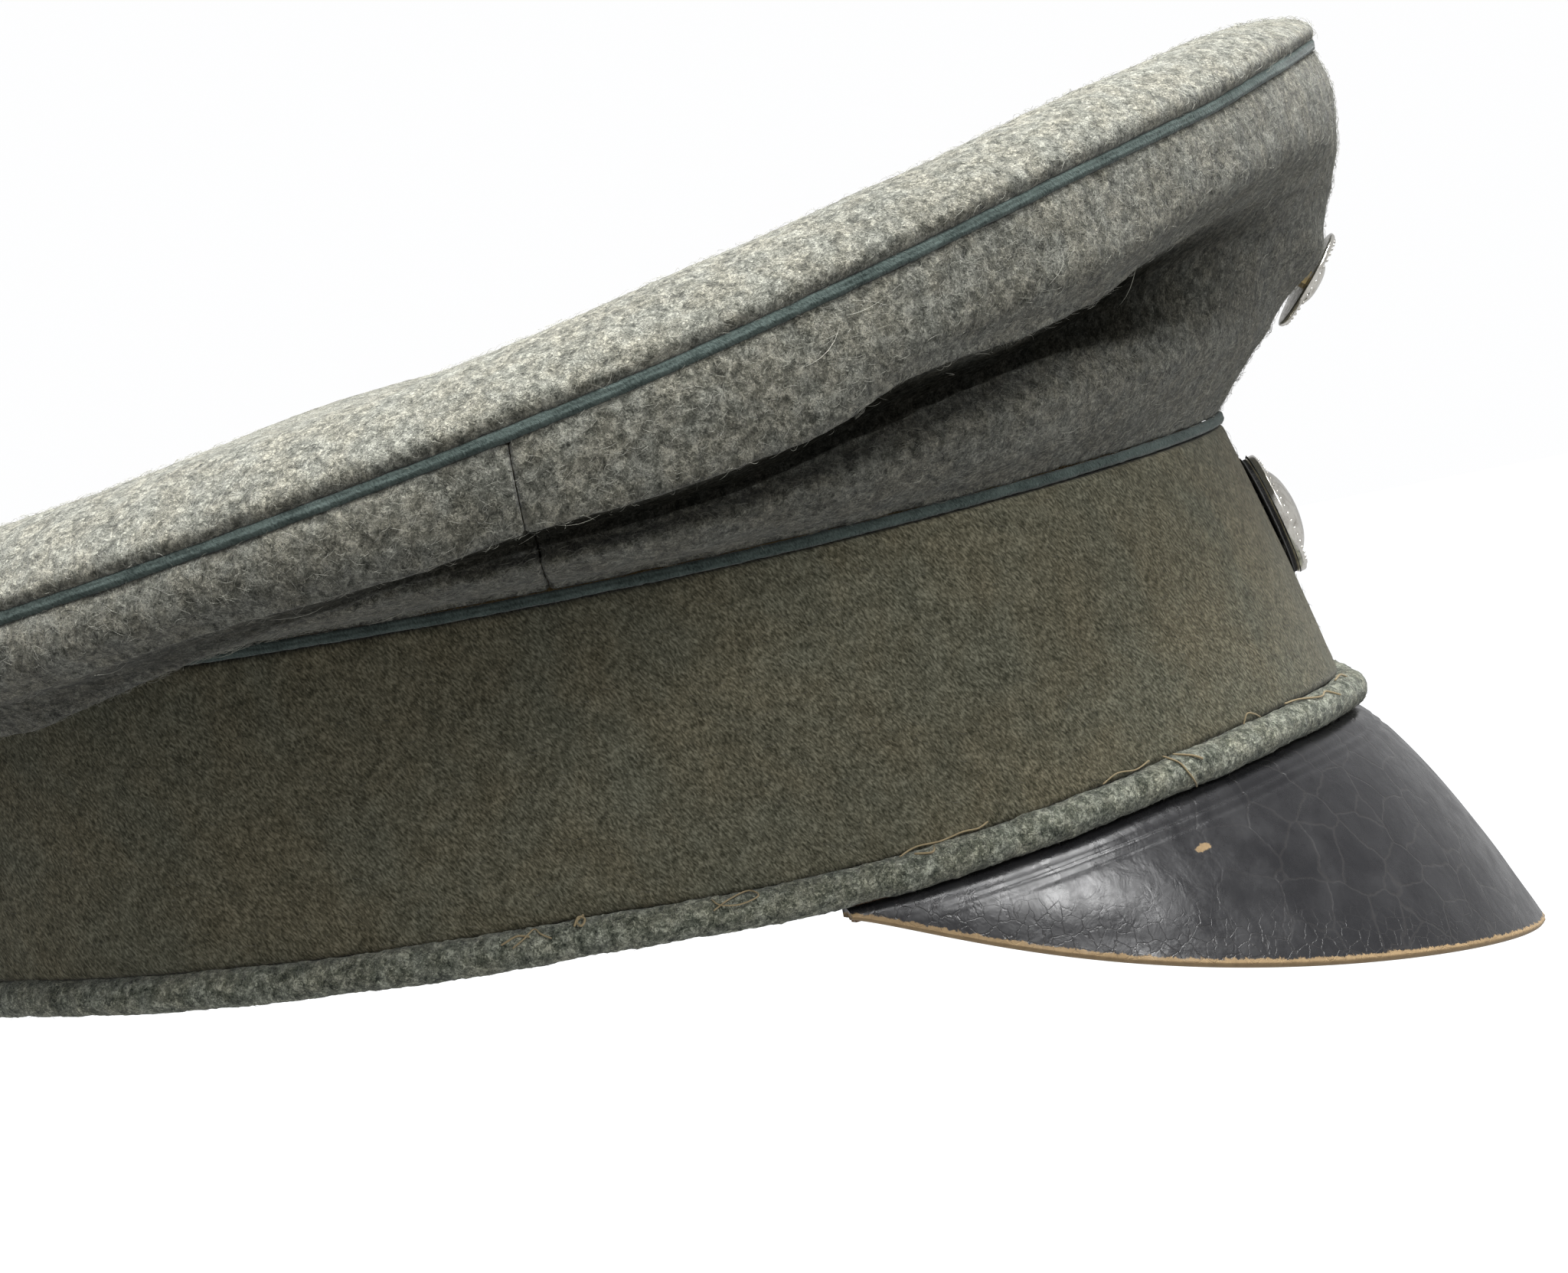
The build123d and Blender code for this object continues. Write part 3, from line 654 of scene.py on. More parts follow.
def crown_side_controls(angle):
    """Rows of (radius, height, painted shade) from the band seam up to the rim seam."""
    out, up, drop, inward, tuck, rise, swell, roll, pocket_shade = hang_at(angle)
    low_r, low_z = oval_radius(BAND_HEAD, angle), band_top(angle) + 1.2
    high_r, high_z = rim_radius(angle), rim_height(angle) + rim_lift(angle) - 0.75
    fold_r, fold_z = high_r - inward, high_z - drop
    tight = np.interp(np.abs(turned(angle)), (40, 66, 108, 128), (0, 1, 1, 0))
    side_r, side_z = high_r + 0.75 * swell, high_z - 0.68 * drop
    pit_r, pit_z = fold_r - tuck, fold_z + rise
    roof_r, roof_z = fold_r - 0.55 * tuck, fold_z + 0.5 * rise
    top_r, top_z = low_r + (1 - 0.2 * roll) * out, low_z + up
    # The third value of each point is painted shade, strongest in the pocket under the fold.
    points = [
        (low_r - 1.6, low_z + 0.4, 0),
        (low_r - 0.1, low_z - 0.15, 0),
        (low_r + 0.6, low_z + 0.6, 0),
        (low_r + (0.4 + 0.2 * roll) * out, low_z + (0.4 - 0.12 * roll) * up, 0),
        (low_r + (0.75 + 0.25 * roll) * out, low_z + (0.75 - 0.07 * roll) * up, 0.03 * pocket_shade),
        (top_r, top_z, 0.35 * pocket_shade),
        (top_r + 0.4 * (pit_r - top_r), top_z + (0.45 - 0.2 * roll) * (pit_z - top_z), pocket_shade),
        (pit_r, pit_z, pocket_shade),
        (roof_r, roof_z, pocket_shade),
        (fold_r + tight * -1.9 + (1 - tight) * 0.3 * (roof_r - fold_r),
         fold_z + tight * 0.5 + (1 - tight) * 0.2 * (roof_z - fold_z), 0.45 * pocket_shade),
        (fold_r, fold_z, 0),
        (fold_r + tight * 0.9 + (1 - tight) * 0.3 * (side_r - fold_r),
         fold_z + tight * 1.0 + (1 - tight) * 0.3 * (side_z - fold_z), 0),
        (side_r, side_z, 0),
        (high_r + swell, high_z - 0.3 * drop, 0),
        (high_r + 0.3 * swell + 0.3, high_z - 0.06 * drop - 0.2, 0),
        (high_r - 0.1, high_z + 0.1, 0),
        (high_r - 1.8, high_z - 0.5, 0),
    ]
    return np.stack([np.stack(np.broadcast_arrays(*p), -1) for p in points], 1)


def soft_edge(distance, width, depth):
    """How far a surface turns in near a seam, at a distance from it."""
    near = np.clip(1 - np.abs(distance) / width, 0, 1)
    return -depth * (1 - np.sqrt(1 - near ** 2 * 0.96))


def crown_quarter(name, start, columns=113, rows=321):
    angle = np.linspace(start + 0.03, start + 89.97, rows)
    curve = profile_curve(crown_side_controls(angle), columns)[::-1]
    a = spread(angle, columns)[::-1]
    grid = place(a, curve[..., 0], curve[..., 1])
    seam = np.minimum.reduce([np.abs(turned(a - s)) for s in SEAM_ANGLES])
    height = soft_edge(rad(seam) * curve[..., 0], 1.1, 0.6)
    free = np.sin(np.pi * np.linspace(0, 1, columns)[None, :]) ** 0.5
    height = height + free * (0.55 * noise(grid, 19, 3.1) + 0.3 * noise(grid, 8, 1.7)) + felted(grid, 0.1)
    grid = raised(grid, height)
    made = shell(name, grid, WOOL_THICK, CROWN_WOOL)
    inner = np.zeros(len(made.data.vertices) - grid[..., 0].size)
    # Painted shade for the pockets under the folds, from the controls' third values.
    fold_shade = np.clip(curve[..., 2], 0, 1)
    attribute(made, "fold_shade", np.concatenate([fold_shade.ravel(), inner]))
    return made, grid, fold_shade


# Top panel, from the rim seam inwards: inset, rise above the rim, share of the rim's bow.
TOP_PROFILE = (
    (2.2, 0.9, 1.0), (0.2, 0.7, 1.0), (-0.6, 1.3, 1.0), (-0.7, 2.6, 1.0), (0.6, 4.3, 1.0),
    (3.4, 6.6, 0.97), (7.0, 8.6, 0.9), (12.0, 9.9, 0.8), (20.0, 10.0, 0.65), (40.0, 9.3, 0.3),
    (60.0, 9.0, 0.12), (85.0, 9.0, 0.0),
)


TOP_CENTRE_RISE = 9.0


def top_grid(rows=1441, columns=109):
    """Angles and (radius, height) of the top panel, finest near its rim."""
    angle = np.linspace(-180, 180, rows)
    rim, lift = rim_radius(angle), rim_lift(angle)
    points = []
    for inset, rise, bow in TOP_PROFILE:
        inset = np.minimum(inset, rim - 12)
        flatter = 1 - 0.15 * lift / RIM_LIFT * np.exp(-np.maximum(inset, 0) / 40)
        lifted = lift * np.exp(-np.maximum(inset, 0) / 14) + rise * flatter
        points.append(np.stack([rim - inset, rim_height(angle, inset, bow) + lifted], -1))
    points.append(np.stack([np.full(rows, 0.4), np.full(rows, rim_plane(0) + TOP_CENTRE_RISE)], -1))
    fine = 900
    pick = np.linspace(0, 1, columns)
    pick = np.round((fine - 1) * (0.42 * pick + 0.58 * pick ** 3)).astype(int)
    return spread(angle, columns), profile_curve(np.stack(points, 1), fine)[:, pick]


def top_panel():
    a, curve = (half[::-1] for half in top_grid())
    grid = place(a, curve[..., 0], curve[..., 1])
    forward, across = -grid[..., 1], grid[..., 0]
    inner = np.clip((oval_radius(CROWN_RIM, a) - curve[..., 0]) / 8, 0, 1)
    hump = 3.0 * np.exp(-((forward + 37) / 24) ** 2 - ((across - 6) / 95) ** 2)
    sag = -0.5 * np.exp(-((forward - 28) / 40) ** 2 - (across / 55) ** 2)
    waves = 0.8 * noise(grid, 46, 0.4) + 0.35 * noise(grid, 17, 2.2)
    outer = raised(grid, inner * (hump + sag + waves) + felted(grid, 0.1, 7.7))
    outer[-1] = outer[0]
    made = shell("top_panel_cloth", outer, WOOL_THICK, CROWN_WOOL)
    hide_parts("top_panel")
    return made, outer


# ---- pipings, welt and band --------------------------------------------------
ROUND = np.linspace(-180, 180, 1441)[:-1]


def round_section(radius, seed, lump, fuzz, groove=0.0):
    """Section of a cloth-covered cord for ring_tube, lumpy, fuzzy and grooved by its stitching."""
    def offsets(angle, turn):
        flat = place(angle, 110 + 3 * np.cos(rad(turn)), 3 * np.sin(rad(turn)))
        size = radius * (1 + lump * noise(flat, 9, seed) + 0.5 * lump * noise(flat, 3.5, seed))
        size = size + fuzz * noise(flat, 1.1, seed) + fuzz * noise(flat, 0.5, seed)
        size = size - groove * np.exp(-((turned(turn) - 12 - 14 * noise(flat, 14, seed)) / 20) ** 2)
        return size * np.cos(rad(turn)), size * np.sin(rad(turn))
    return offsets


def band_piping_line(angle):
    return oval_radius(BAND_HEAD, angle) - 0.15, band_top(angle) + 0.2


def crown_piping_line(angle):
    return rim_radius(angle) - 0.1, rim_height(angle) + rim_lift(angle)


def welt_line(angle):
    return oval_radius(BAND_FOOT, angle) - 0.2, edge_height(angle) + WELT_RADIUS


def pipings():
    for name, line, radius, seed in (
        ("band_piping", band_piping_line, 0.75, 2.0), ("crown_piping", crown_piping_line, 0.88, 6.0),
    ):
        section = round_section(radius, seed, 0.08, 0.05, 0.16)
        made, _ = ring_tube(name + "_cord", ROUND, line, section, PIPING_WOOL)
        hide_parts(name)


def welt():
    section = round_section(WELT_RADIUS + 0.05, 3.3, 0.085, 0.11)
    made, grid = ring_tube("lower_welt_cloth", ROUND, welt_line, section, WELT_WOOL)
    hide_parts("lower_welt")
    return grid


def twisted_cord(name, line, radius, strands, pitch, material):
    """A laid cord round the cap."""
    def offsets(angle, turn):
        lay = rad(angle) * 100 / pitch * 2 * np.pi
        size = radius * (0.86 + 0.14 * np.abs(np.cos((rad(turn) * strands + lay) / 2)))
        return size * np.cos(rad(turn)), size * np.sin(rad(turn))
    return ring_tube(name, ROUND, line, offsets, material)[0]


def band_cloth(rows=1201, columns=89):
    angle = np.linspace(-179.94, 179.94, rows)
    a = spread(angle, columns)
    low, high = edge_height(angle) + 4.5, band_top(angle) - 0.45
    share = np.linspace(0, 1, columns)[None, :]
    z = low[:, None] + (high - low)[:, None] * share
    grid = place(a, band_radius(a, z), z)[::-1]
    from_edge = np.minimum(share, 1 - share) * (high - low)[::-1, None]
    from_seam = (180 - np.abs(a[::-1])) * 1.8
    height = soft_edge(from_edge, 1.1, 1.1) + soft_edge(from_seam, 1.0, 0.7)
    height = height + 0.35 * np.sin(np.pi * share)
    height = height + 0.3 * noise(grid, 42, 8.0) + 0.14 * noise(grid, 14, 4.0)
    grid = raised(grid, height + felted(grid, 0.022, 2.0))
    made = shell("band_cloth_cover", grid, WOOL_THICK, BAND_WOOL)
    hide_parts("band_cloth")
    return made, grid


def edge_binding(rows=721, columns=25):
    """Ribbed tape that closes the lower edge inside the welt."""
    a = spread(np.linspace(-179.9, 179.9, rows), columns)
    share = np.linspace(0, 1, columns)[None, :]
    curl = 0.25 * np.cos(2 * np.pi * share) + 0.06 * np.sin(rad(a) * 520)
    radius = oval_radius(BAND_FOOT, a) - 2.75 + curl * 0.4
    grid = place(a, radius, edge_height(a) + 0.3 + 2.9 * share)[::-1]
    made = shell("edge_binding_tape", grid, 0.7, TAPE)
    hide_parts("edge_binding")


# ---- peak --------------------------------------------------------------------
PEAK_HALF_ANGLE = 71.2
PEAK_LENGTH = 39.5
PEAK_TAPER = 1.2
PEAK_END_LENGTH = 0.8
PEAK_SLOPE = 60.0
PEAK_END_SLOPE = 70.0
PEAK_CROWNING = 1.6
PEAK_LEATHER = 1.2
PEAK_FLANGE = np.array([[-3.2, 0.0], [-1.6, 0.0]])


def peak_frame(angle):
    """Bend, directions down the peak and out of it, and length, at each angle."""
    share = angle / PEAK_HALF_ANGLE
    slope = rad(PEAK_SLOPE + (PEAK_END_SLOPE - PEAK_SLOPE) * share ** 2)
    bend = np.stack([oval_radius(BAND_FOOT, angle) + 0.9, edge_height(angle) - 0.1], -1)
    length = PEAK_LENGTH * (1 - share ** 2) ** PEAK_TAPER + PEAK_END_LENGTH
    down = np.stack([np.cos(slope), -np.sin(slope)], -1)
    out = np.stack([np.sin(slope), np.cos(slope)], -1)
    return bend, down, out, length, share


def peak_side(angle, depth, shares, short):
    """Points of one face of the peak, their distance down it and what is left to its rim."""
    bend, down, out, length, place_share = peak_frame(angle)
    run = shares[None, :] * (length[:, None] - short)
    bow = np.sin(np.pi * shares ** 0.85)[None, :] * PEAK_CROWNING * (1 - place_share ** 2)[:, None]
    turn_in = 1.6 * np.exp(-run / 1.1)
    off = bow - depth - turn_in * 0.55
    flat = bend[:, None] + down[:, None] * run[..., None] + out[:, None] * off[..., None]
    return flat, run, length[:, None] - short - run


def peak_section(angle, top, bottom, short, columns):
    """Closed sections of a layer of the peak: flange, upper face, rounded rim, lower face, flange."""
    shares = np.linspace(0, 1, columns) ** 0.92
    upper, run, left = peak_side(angle, top, shares, short)
    lower, _, _ = peak_side(angle, bottom, shares[::3][::-1], short)
    bend, down = peak_frame(angle)[:2]
    head = bend[:, None] + PEAK_FLANGE[None] - np.array([0, top])
    tail = bend[:, None] + PEAK_FLANGE[None, ::-1] - np.array([0, bottom])
    rim = [
        upper[:, -1] * (1 - t) + lower[:, 0] * t + down * 0.16 * np.sin(np.pi * t)
        for t in (0.25, 0.5, 0.75)
    ]
    return np.concatenate([head, upper, np.stack(rim, 1), lower, tail], 1), run, left


def cell_edges(points, seeds):
    """Distance to the edges of the cells round the seeds, in millimetres."""
    nearest = np.full((2, len(points)), 1e9)
    for seed in seeds:
        d = np.linalg.norm(points - seed, axis=1)
        second = np.minimum(np.maximum(d, nearest[0]), nearest[1])
        nearest = np.stack([np.minimum(d, nearest[0]), second])
    return (nearest[1] - nearest[0]) / 2


def peak_leather(rows=801, columns=121):
    angle = np.linspace(-PEAK_HALF_ANGLE + 0.4, PEAK_HALF_ANGLE - 0.4, rows)
    section, run, left = peak_section(angle, 0.0, PEAK_LEATHER, 0.0, columns)
    a = spread(angle, section.shape[1])
    grid = place(a, section[..., 0], section[..., 1])
    front = slice(len(PEAK_FLANGE), len(PEAK_FLANGE) + columns)
    face, a_face = grid[:, front].copy(), a[:, front]
    centre = np.exp(-(angle / 52) ** 4)[:, None]
    crease = -0.28 * np.exp(-((run - 2.9) / 0.35) ** 2) - 0.2 * np.exp(-((run - 4.4) / 0.45) ** 2)
    waves = 0.28 * noise(face, 21, 1.0) + 0.09 * noise(face, 7, 2.0)
    flat = np.stack([rad(a_face) * 105, run, np.zeros_like(run)], -1).reshape(-1, 3)
    warped = flat + 1.6 * np.stack([noise(flat, 5, 3.0), noise(flat, 5, 9.0), flat[:, 2]], -1)
    seeds = np.random.default_rng(3).uniform((-95, 4, 0), (95, 42, 0), (620, 3)) * (1, 1, 0)
    crack = np.exp(-(cell_edges(warped, seeds).reshape(run.shape) / 0.1) ** 2)
    toward_front = np.clip((44 - np.abs(a_face)) / 22, 0, 1)
    patchy = np.clip(0.6 + 1.4 * noise(face, 9, 5.0), 0, 1)
    height = centre * crease + waves * np.clip(left / 3, 0.1, 1) * np.clip(run / 3, 0, 1)
    height = height - 0.024 * crack * toward_front * patchy * np.clip(run / 6 - 0.6, 0, 1)
    ragged = 0.14 * noise(face * (1, 1, 0.2), 2.2, 8.0) * np.exp(-left / 0.5)
    grid[:, front] = raised(face, height + ragged)
    made = closed_strip("peak_leather_lacquered", grid, LACQUER)
    chip = np.exp(-((a_face - 41.4) ** 2 + ((run - 7.7) * 1.3) ** 2) / 1.1)
    bare, nearness = np.ones(a.shape), np.zeros(a.shape)
    bare[:, :front.start] = 0
    bare[:, front] = np.exp(-left / 0.9) + 0.8 * chip
    nearness[:, front] = np.exp(-left / 7)
    attribute(made, "bare", bare)
    attribute(made, "rim_nearness", nearness)
    attribute(made, "front_share", np.clip((60 - np.abs(a)) / 40, 0, 1))
    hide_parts("peak_leather")


def peak_lining(rows=361):
    angle = np.linspace(-PEAK_HALF_ANGLE + 1, PEAK_HALF_ANGLE - 1, rows)
    section, _, _ = peak_section(angle, PEAK_LEATHER + 0.1, PEAK_LEATHER + 0.85, 0.7, 60)
    grid = place(spread(angle, section.shape[1]), section[..., 0], section[..., 1])
    grid = grid + 0.05 * noise(grid, 6, 2.0)[..., None] * (0, 0, 1)
    made = closed_strip("peak_lining_leather", grid, TAN_LEATHER)
    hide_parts("peak_lining")


STITCH_RADIUS = 95


def stitch_paths(line, end, pitch, length, sink):
    """Stitches as arcs from -end to end that dive in; line(angle) gives radius and height."""
    count = round(np.radians(2 * end) * STITCH_RADIUS / pitch)
    t = np.linspace(-1, 1, 9)
    paths = []
    for i in range(count):
        middle = 2 * end * (i + 0.5) / count - end
        angle = middle + np.degrees(length / 2 / line(middle)[0]) * t
        paths.append((angle, *line(angle), sink * np.abs(t) ** 3))
    return paths


def peak_stitches():
    depth = PEAK_LEATHER + 0.9

    def line(angle):
        return oval_radius(BAND_FOOT, angle) - 1.3, edge_height(angle) - 0.15 - depth
    paths = [place(a, r, z + dive) for a, r, z, dive in stitch_paths(line, 66, 7.0, 4.2, 0.5)]
    made = tubes("peak_stitches_thread", paths, [0.3] * len(paths), THREAD)
    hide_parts("peak_stitches")


# ---- sweatband and linings -----------------------------------------------------
SWEATBAND_BOTTOM = 1.6
SWEATBAND_WIDTH = 38.0
SWEATBAND_SEAM = 2.2  # of its stitches above its lower edge
STITCH_PITCH = 7.5


def sweatband_section(angle, outer, inner, low, high, columns):
    """Angle, radius and height of closed sections between two depths inside the band."""
    share = np.linspace(0, 1, columns)[None]
    z = (edge_height(angle) + SWEATBAND_BOTTOM)[:, None] + low + (high - low) * share
    a = spread(angle, columns)
    wave = 0.22 * np.sin(rad(a) * 7 + 1) * share ** 2 + 0.12 * np.sin(rad(a) * 23) * share ** 3
    back = band_radius(a, z) - outer + wave
    front = band_radius(a, z) - inner + wave - 0.12 * np.exp(-((share - 0.985) / 0.012) ** 2)
    middle, top = (back[:, -1:] + front[:, -1:]) / 2, z[:, -1:] + 0.4
    base, bottom = (back[:, :1] + front[:, :1]) / 2, z[:, :1] - 0.3
    r = np.concatenate([back, middle, front[:, ::-1], base], 1)
    z = np.concatenate([z, top, z[:, ::-1], bottom], 1)
    return spread(angle, r.shape[1]), r, z


def sweatband():
    angle = np.linspace(-179.85, 179.85, 901)
    a, r, z = sweatband_section(angle, 3.95, 5.05, 0.3, SWEATBAND_WIDTH - 0.4, 41)
    smooth = place(a, r, z)
    stitched = np.exp(-((z - edge_height(a) - SWEATBAND_BOTTOM - SWEATBAND_SEAM) / 0.7) ** 2)
    inner = r < band_radius(a, z) - 4.6
    dent = stitched * inner * 0.18 * (0.6 + 0.4 * np.cos(rad(a) * 2 * np.pi * STITCH_RADIUS / STITCH_PITCH))
    grid = place(a, r + dent, z) + 0.06 * noise(smooth, 4, 1.0)[..., None] * (0, 0, 1)
    made = closed_strip("sweatband_leather", grid[::-1], SWEAT_LEATHER, "sweatband")
    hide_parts("sweatband")

    angle = np.linspace(177.2, 182.8, 33)
    a, r, z = sweatband_section(angle, 5.13, 5.7, 2.3, SWEATBAND_WIDTH - 2.3, 61)
    made = closed_strip("sweatband_join_strip", place(a, r, z)[::-1], SWEAT_LEATHER, "sweatband")
    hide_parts("sweatband_join_tape")

    def line(angle):
        height = edge_height(angle) + SWEATBAND_BOTTOM + SWEATBAND_SEAM
        return band_radius(angle, height) - 5.42, height
    paths = [place(a, r + dive, z) for a, r, z, dive in stitch_paths(line, 176, STITCH_PITCH, 4.6, 0.45)]
    made = tubes("sweatband_stitch_thread", paths, [0.28] * len(paths), THREAD, "sweatband")
    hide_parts("sweatband_stitches")


LINING_DEPTH = 3.2
TOP_LINING_SCALE = 0.76
TOP_LINING_RISE = 5.6


def side_lining(rows=1081, columns=65):
    angle = np.linspace(-179.9, 179.9, rows)
    rim = TOP_LINING_SCALE * oval_radius(CROWN_RIM, angle)
    ceiling = rim_plane(rim * np.cos(rad(angle))) + TOP_LINING_RISE - 0.5
    bottom, top = edge_height(angle) + 3.7, band_top(angle)
    middle = (bottom + top) / 2
    foot = band_radius(angle, top) - LINING_DEPTH
    controls = [
        (band_radius(angle, bottom) - LINING_DEPTH, bottom),
        (band_radius(angle, middle) - LINING_DEPTH, middle),
        (foot, top - 3),
        (foot + 0.45 * (rim - foot), top + 0.5 * (ceiling - top)),
        (rim - 0.8, ceiling - 2.2),
        (rim - 1.2, ceiling),
    ]
    curve = profile_curve(np.stack([np.stack(c, -1) for c in controls], 1), columns)
    a = spread(angle, columns)
    grid = place(a, curve[..., 0], curve[..., 1])[::-1]
    free = np.clip((np.linspace(0, 1, columns)[None] - 0.55) / 0.45, 0, 1)
    gathers = 0.5 * np.sin(rad(a[::-1]) * 46 + 2 * noise(grid, 25, 3.0)) * free
    pucker = 0.35 * noise(grid, 9, 6.0) * free
    grid = raised(grid, gathers + pucker - 0.9 * free)
    made = shell("side_lining_cloth", grid, LINING_THICK, LINING)
    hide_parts("side_lining")
    return made


def disc(name, outline, surface, thickness, material, rows=361, columns=49):
    """A thin sheet over an outline(angle); surface(points, share of the outline) gives its height."""
    angle = np.linspace(-180, 180, rows)
    share = np.linspace(1, 0.004, columns)[None]
    points = place(spread(angle, columns), outline(angle)[:, None] * share, 0.0)
    points[..., 2] = surface(points, share)
    points[-1] = points[0]
    return shell(name, points[::-1], thickness, material)


def top_lining():
    def surface(points, share):
        pleats = 0.35 * np.sin(np.arctan2(points[..., 0], points[..., 1]) * 40) * share ** 10
        sag = -1.3 * (1 - share ** 2) + 0.4 * noise(points, 30, 2.0) * (1 - share ** 4)
        return rim_plane(-points[..., 1]) + TOP_LINING_RISE + 0.4 + pleats + sag

    def outline(angle):
        return TOP_LINING_SCALE * oval_radius(CROWN_RIM, angle) - 0.3
    made = disc("top_lining_cloth", outline, surface, LINING_THICK, LINING)
    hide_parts("top_lining")

    def shield_outline(angle, roundness=1.18):
        """A lozenge with slightly bowed sides."""
        x, y = np.abs(np.sin(rad(angle))) / 49, np.abs(np.cos(rad(angle))) / 67
        return 1 / (x ** roundness + y ** roundness) ** (1 / roundness)

    def shield_surface(points, share):
        lift = 0.25 * noise(points, 26, 5.0) * (1 - share ** 3)
        sag = -1.3 * (1 - (np.linalg.norm(points[..., :2], axis=-1) / 88) ** 2)
        return rim_plane(-points[..., 1]) + TOP_LINING_RISE - 0.15 + sag + lift - 0.3 * (1 - share)
    shield = disc("sweat_shield_sheet", shield_outline, shield_surface, LINING_THICK, AMBER)
    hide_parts("sweat_shield")
    return made


def stay_pocket(rows=97, columns=65):
    """Flat tube of lining cloth round the front stay, its seam at the back."""
    stay = np.array([v.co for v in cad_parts["front_stay"].data.vertices]) / MM
    curve = np.polynomial.Polynomial.fit(stay[:, 2], stay[:, 1], 4)
    z = np.linspace(stay[:, 2].min() - 1.5, stay[:, 2].max() + 1.2, columns)
    middle = np.stack([np.zeros(columns), curve(z), z], -1)
    along = np.gradient(middle, axis=0)
    along /= np.linalg.norm(along, axis=1, keepdims=True)
    out = np.stack([np.zeros(columns), -along[:, 2], along[:, 1]], -1)
    turn = rad(np.linspace(266, -86, rows))[:, None]
    width, depth = np.cos(turn), np.sin(turn)
    across = 5.3 * np.sign(width) * np.abs(width) ** 0.8 + 0 * z
    proud = 0.62 * np.sign(depth) * np.abs(depth) ** 0.8 + 0 * z
    grid = middle + across[..., None] * (1.0, 0, 0) + proud[..., None] * out
    grid = raised(grid, 0.07 * noise(grid, 4, 6.0))
    made = shell("front_stay_pocket_cloth", grid, LINING_THICK, LINING)
    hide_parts("front_stay_pocket")
    return made


def wadding():
    def surface(points, share):
        lumps = 0.25 * noise(points, 12, 1.0) + 0.15 * noise(points, 4, 2.0)
        return rim_plane(-points[..., 1]) + 6.7 + lumps * np.clip((1 - share) * 12, 0, 1)

    def outline(angle):
        return 0.8 * oval_radius(CROWN_RIM, angle) - 0.4
    made = disc("top_wadding_pad", outline, surface, 0.7, WADDING)
    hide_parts("top_wadding")

    def line(angle):
        return oval_radius(CROWN_RIM, angle) - 5.0, rim_height(angle, 5.0, 0.9) + 4.6
    section = round_section(1.85, 9.0, 0.12, 0.08)
    made, _ = ring_tube("crown_padding_roll", ROUND, line, section, WADDING)
    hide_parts("crown_padding")


# ---- badges --------------------------------------------------------------------
def badge_frame(node):
    """Place on the base of a round badge, its side, up and outward directions, radius and height."""
    points = np.array([v.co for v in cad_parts[node].data.vertices]) / MM
    centre = (points.min(0) + points.max(0)) / 2
    _, vectors = np.linalg.eigh(np.cov((points - centre).T))
    out = vectors[:, 0] * np.sign(-vectors[1, 0])
    out[0] = 0
    out /= np.linalg.norm(out)
    side = np.array([1.0, 0, 0])
    up = np.cross(side, out)
    up *= np.sign(up[2])
    along = (points - centre) @ out
    radius = (points[:, 0].max() - points[:, 0].min()) / 2
    return centre + out * along.min(), (side, up, out), radius, along.max() - along.min()


def around_axis(axes, radius, turn, height):
    """Points round a badge's axis, from its base."""
    side, up, out = axes
    ring = np.cos(rad(turn))[..., None] * side + np.sin(rad(turn))[..., None] * up
    return np.asarray(radius)[..., None] * ring + np.asarray(height)[..., None] * out


def turned_section(profile, count):
    """Radius, turn and height of a profile swept round an axis in so many steps."""
    turn = np.linspace(0, 360, count + 1)[:-1]
    r, t = np.meshgrid(profile[:, 0], turn)
    return r, t, np.repeat(profile[None, :, 1], count, 0)


def turned_plate(name, grid, material):
    """A closed round plate; the holes at its axis are filled."""
    faces = [grid_faces(*grid.shape[:2], wrap_rows=True)]
    made = mesh_object(name, grid[:, ::-1].reshape(-1, 3), faces, material)
    work = bmesh.new()
    work.from_mesh(made.data)
    bmesh.ops.remove_doubles(work, verts=work.verts, dist=0.002 * MM)
    bmesh.ops.holes_fill(work, edges=work.edges, sides=0)
    bmesh.ops.recalc_face_normals(work, faces=work.faces)
    for face in work.faces:
        face.smooth = True
    work.to_mesh(made.data)
    work.free()
    return made


# Sections of the badges inside their borders: share of the radius, height above the foot,
# and share of the badge's full height.
LOWER_SECTION = (
    (0.84, 0.9, 0), (0.79, 0.85, 0), (0.76, 0.95, 0), (0.72, 0, 0.4), (0.62, 0, 0.62),
    (0.46, 0, 0.83), (0.26, 0, 0.96), (0.12, 0, 1), (0.002, 0, 1),
)
UPPER_SECTION = (
    (0.84, 0.75, 0), (0.76, 0.7, 0), (0.62, 0.95, 0), (0.52, 1.0, 0), (0.47, 0.8, 0), (0.44, 0, 0.5),
    (0.4, 0, 0.76), (0.28, 0, 0.93), (0.12, 0, 1), (0.002, 0, 1),
)


BEAD_RADIUS = 0.28


def badge(name, node, beads, section, flute, back):
    """Stamped disc: beaded border, a field that may be fluted, and a plain polished boss."""
    base, axes, radius, height = badge_frame(node)
    profile = smooth_path([
        (0.02, back), (radius * 0.8, back), (radius * 0.97, back + 0.05), (radius, 0.5),
        (radius * 0.97, 0.9), (radius * 0.9, 1.0),
        *[(radius * share, low + height * full) for share, low, full in section],
    ], 120)
    r, t, w = turned_section(profile, 288)
    field = np.exp(-((r / radius - 0.65) / 0.085) ** 4) * (w > 0.5)
    w = w + field * flute * np.cos(rad(t) * 48)
    made = turned_plate(name, base + around_axis(axes, r, t, w), SILVER)
    spots = base + around_axis(axes, radius * 0.905, np.arange(beads) * 360 / beads, 1.0)
    points, faces = joined([bead(spot, BEAD_RADIUS) for spot in spots])
    ring = mesh_object(name + "_beads", points, faces, SILVER)
    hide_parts(node)


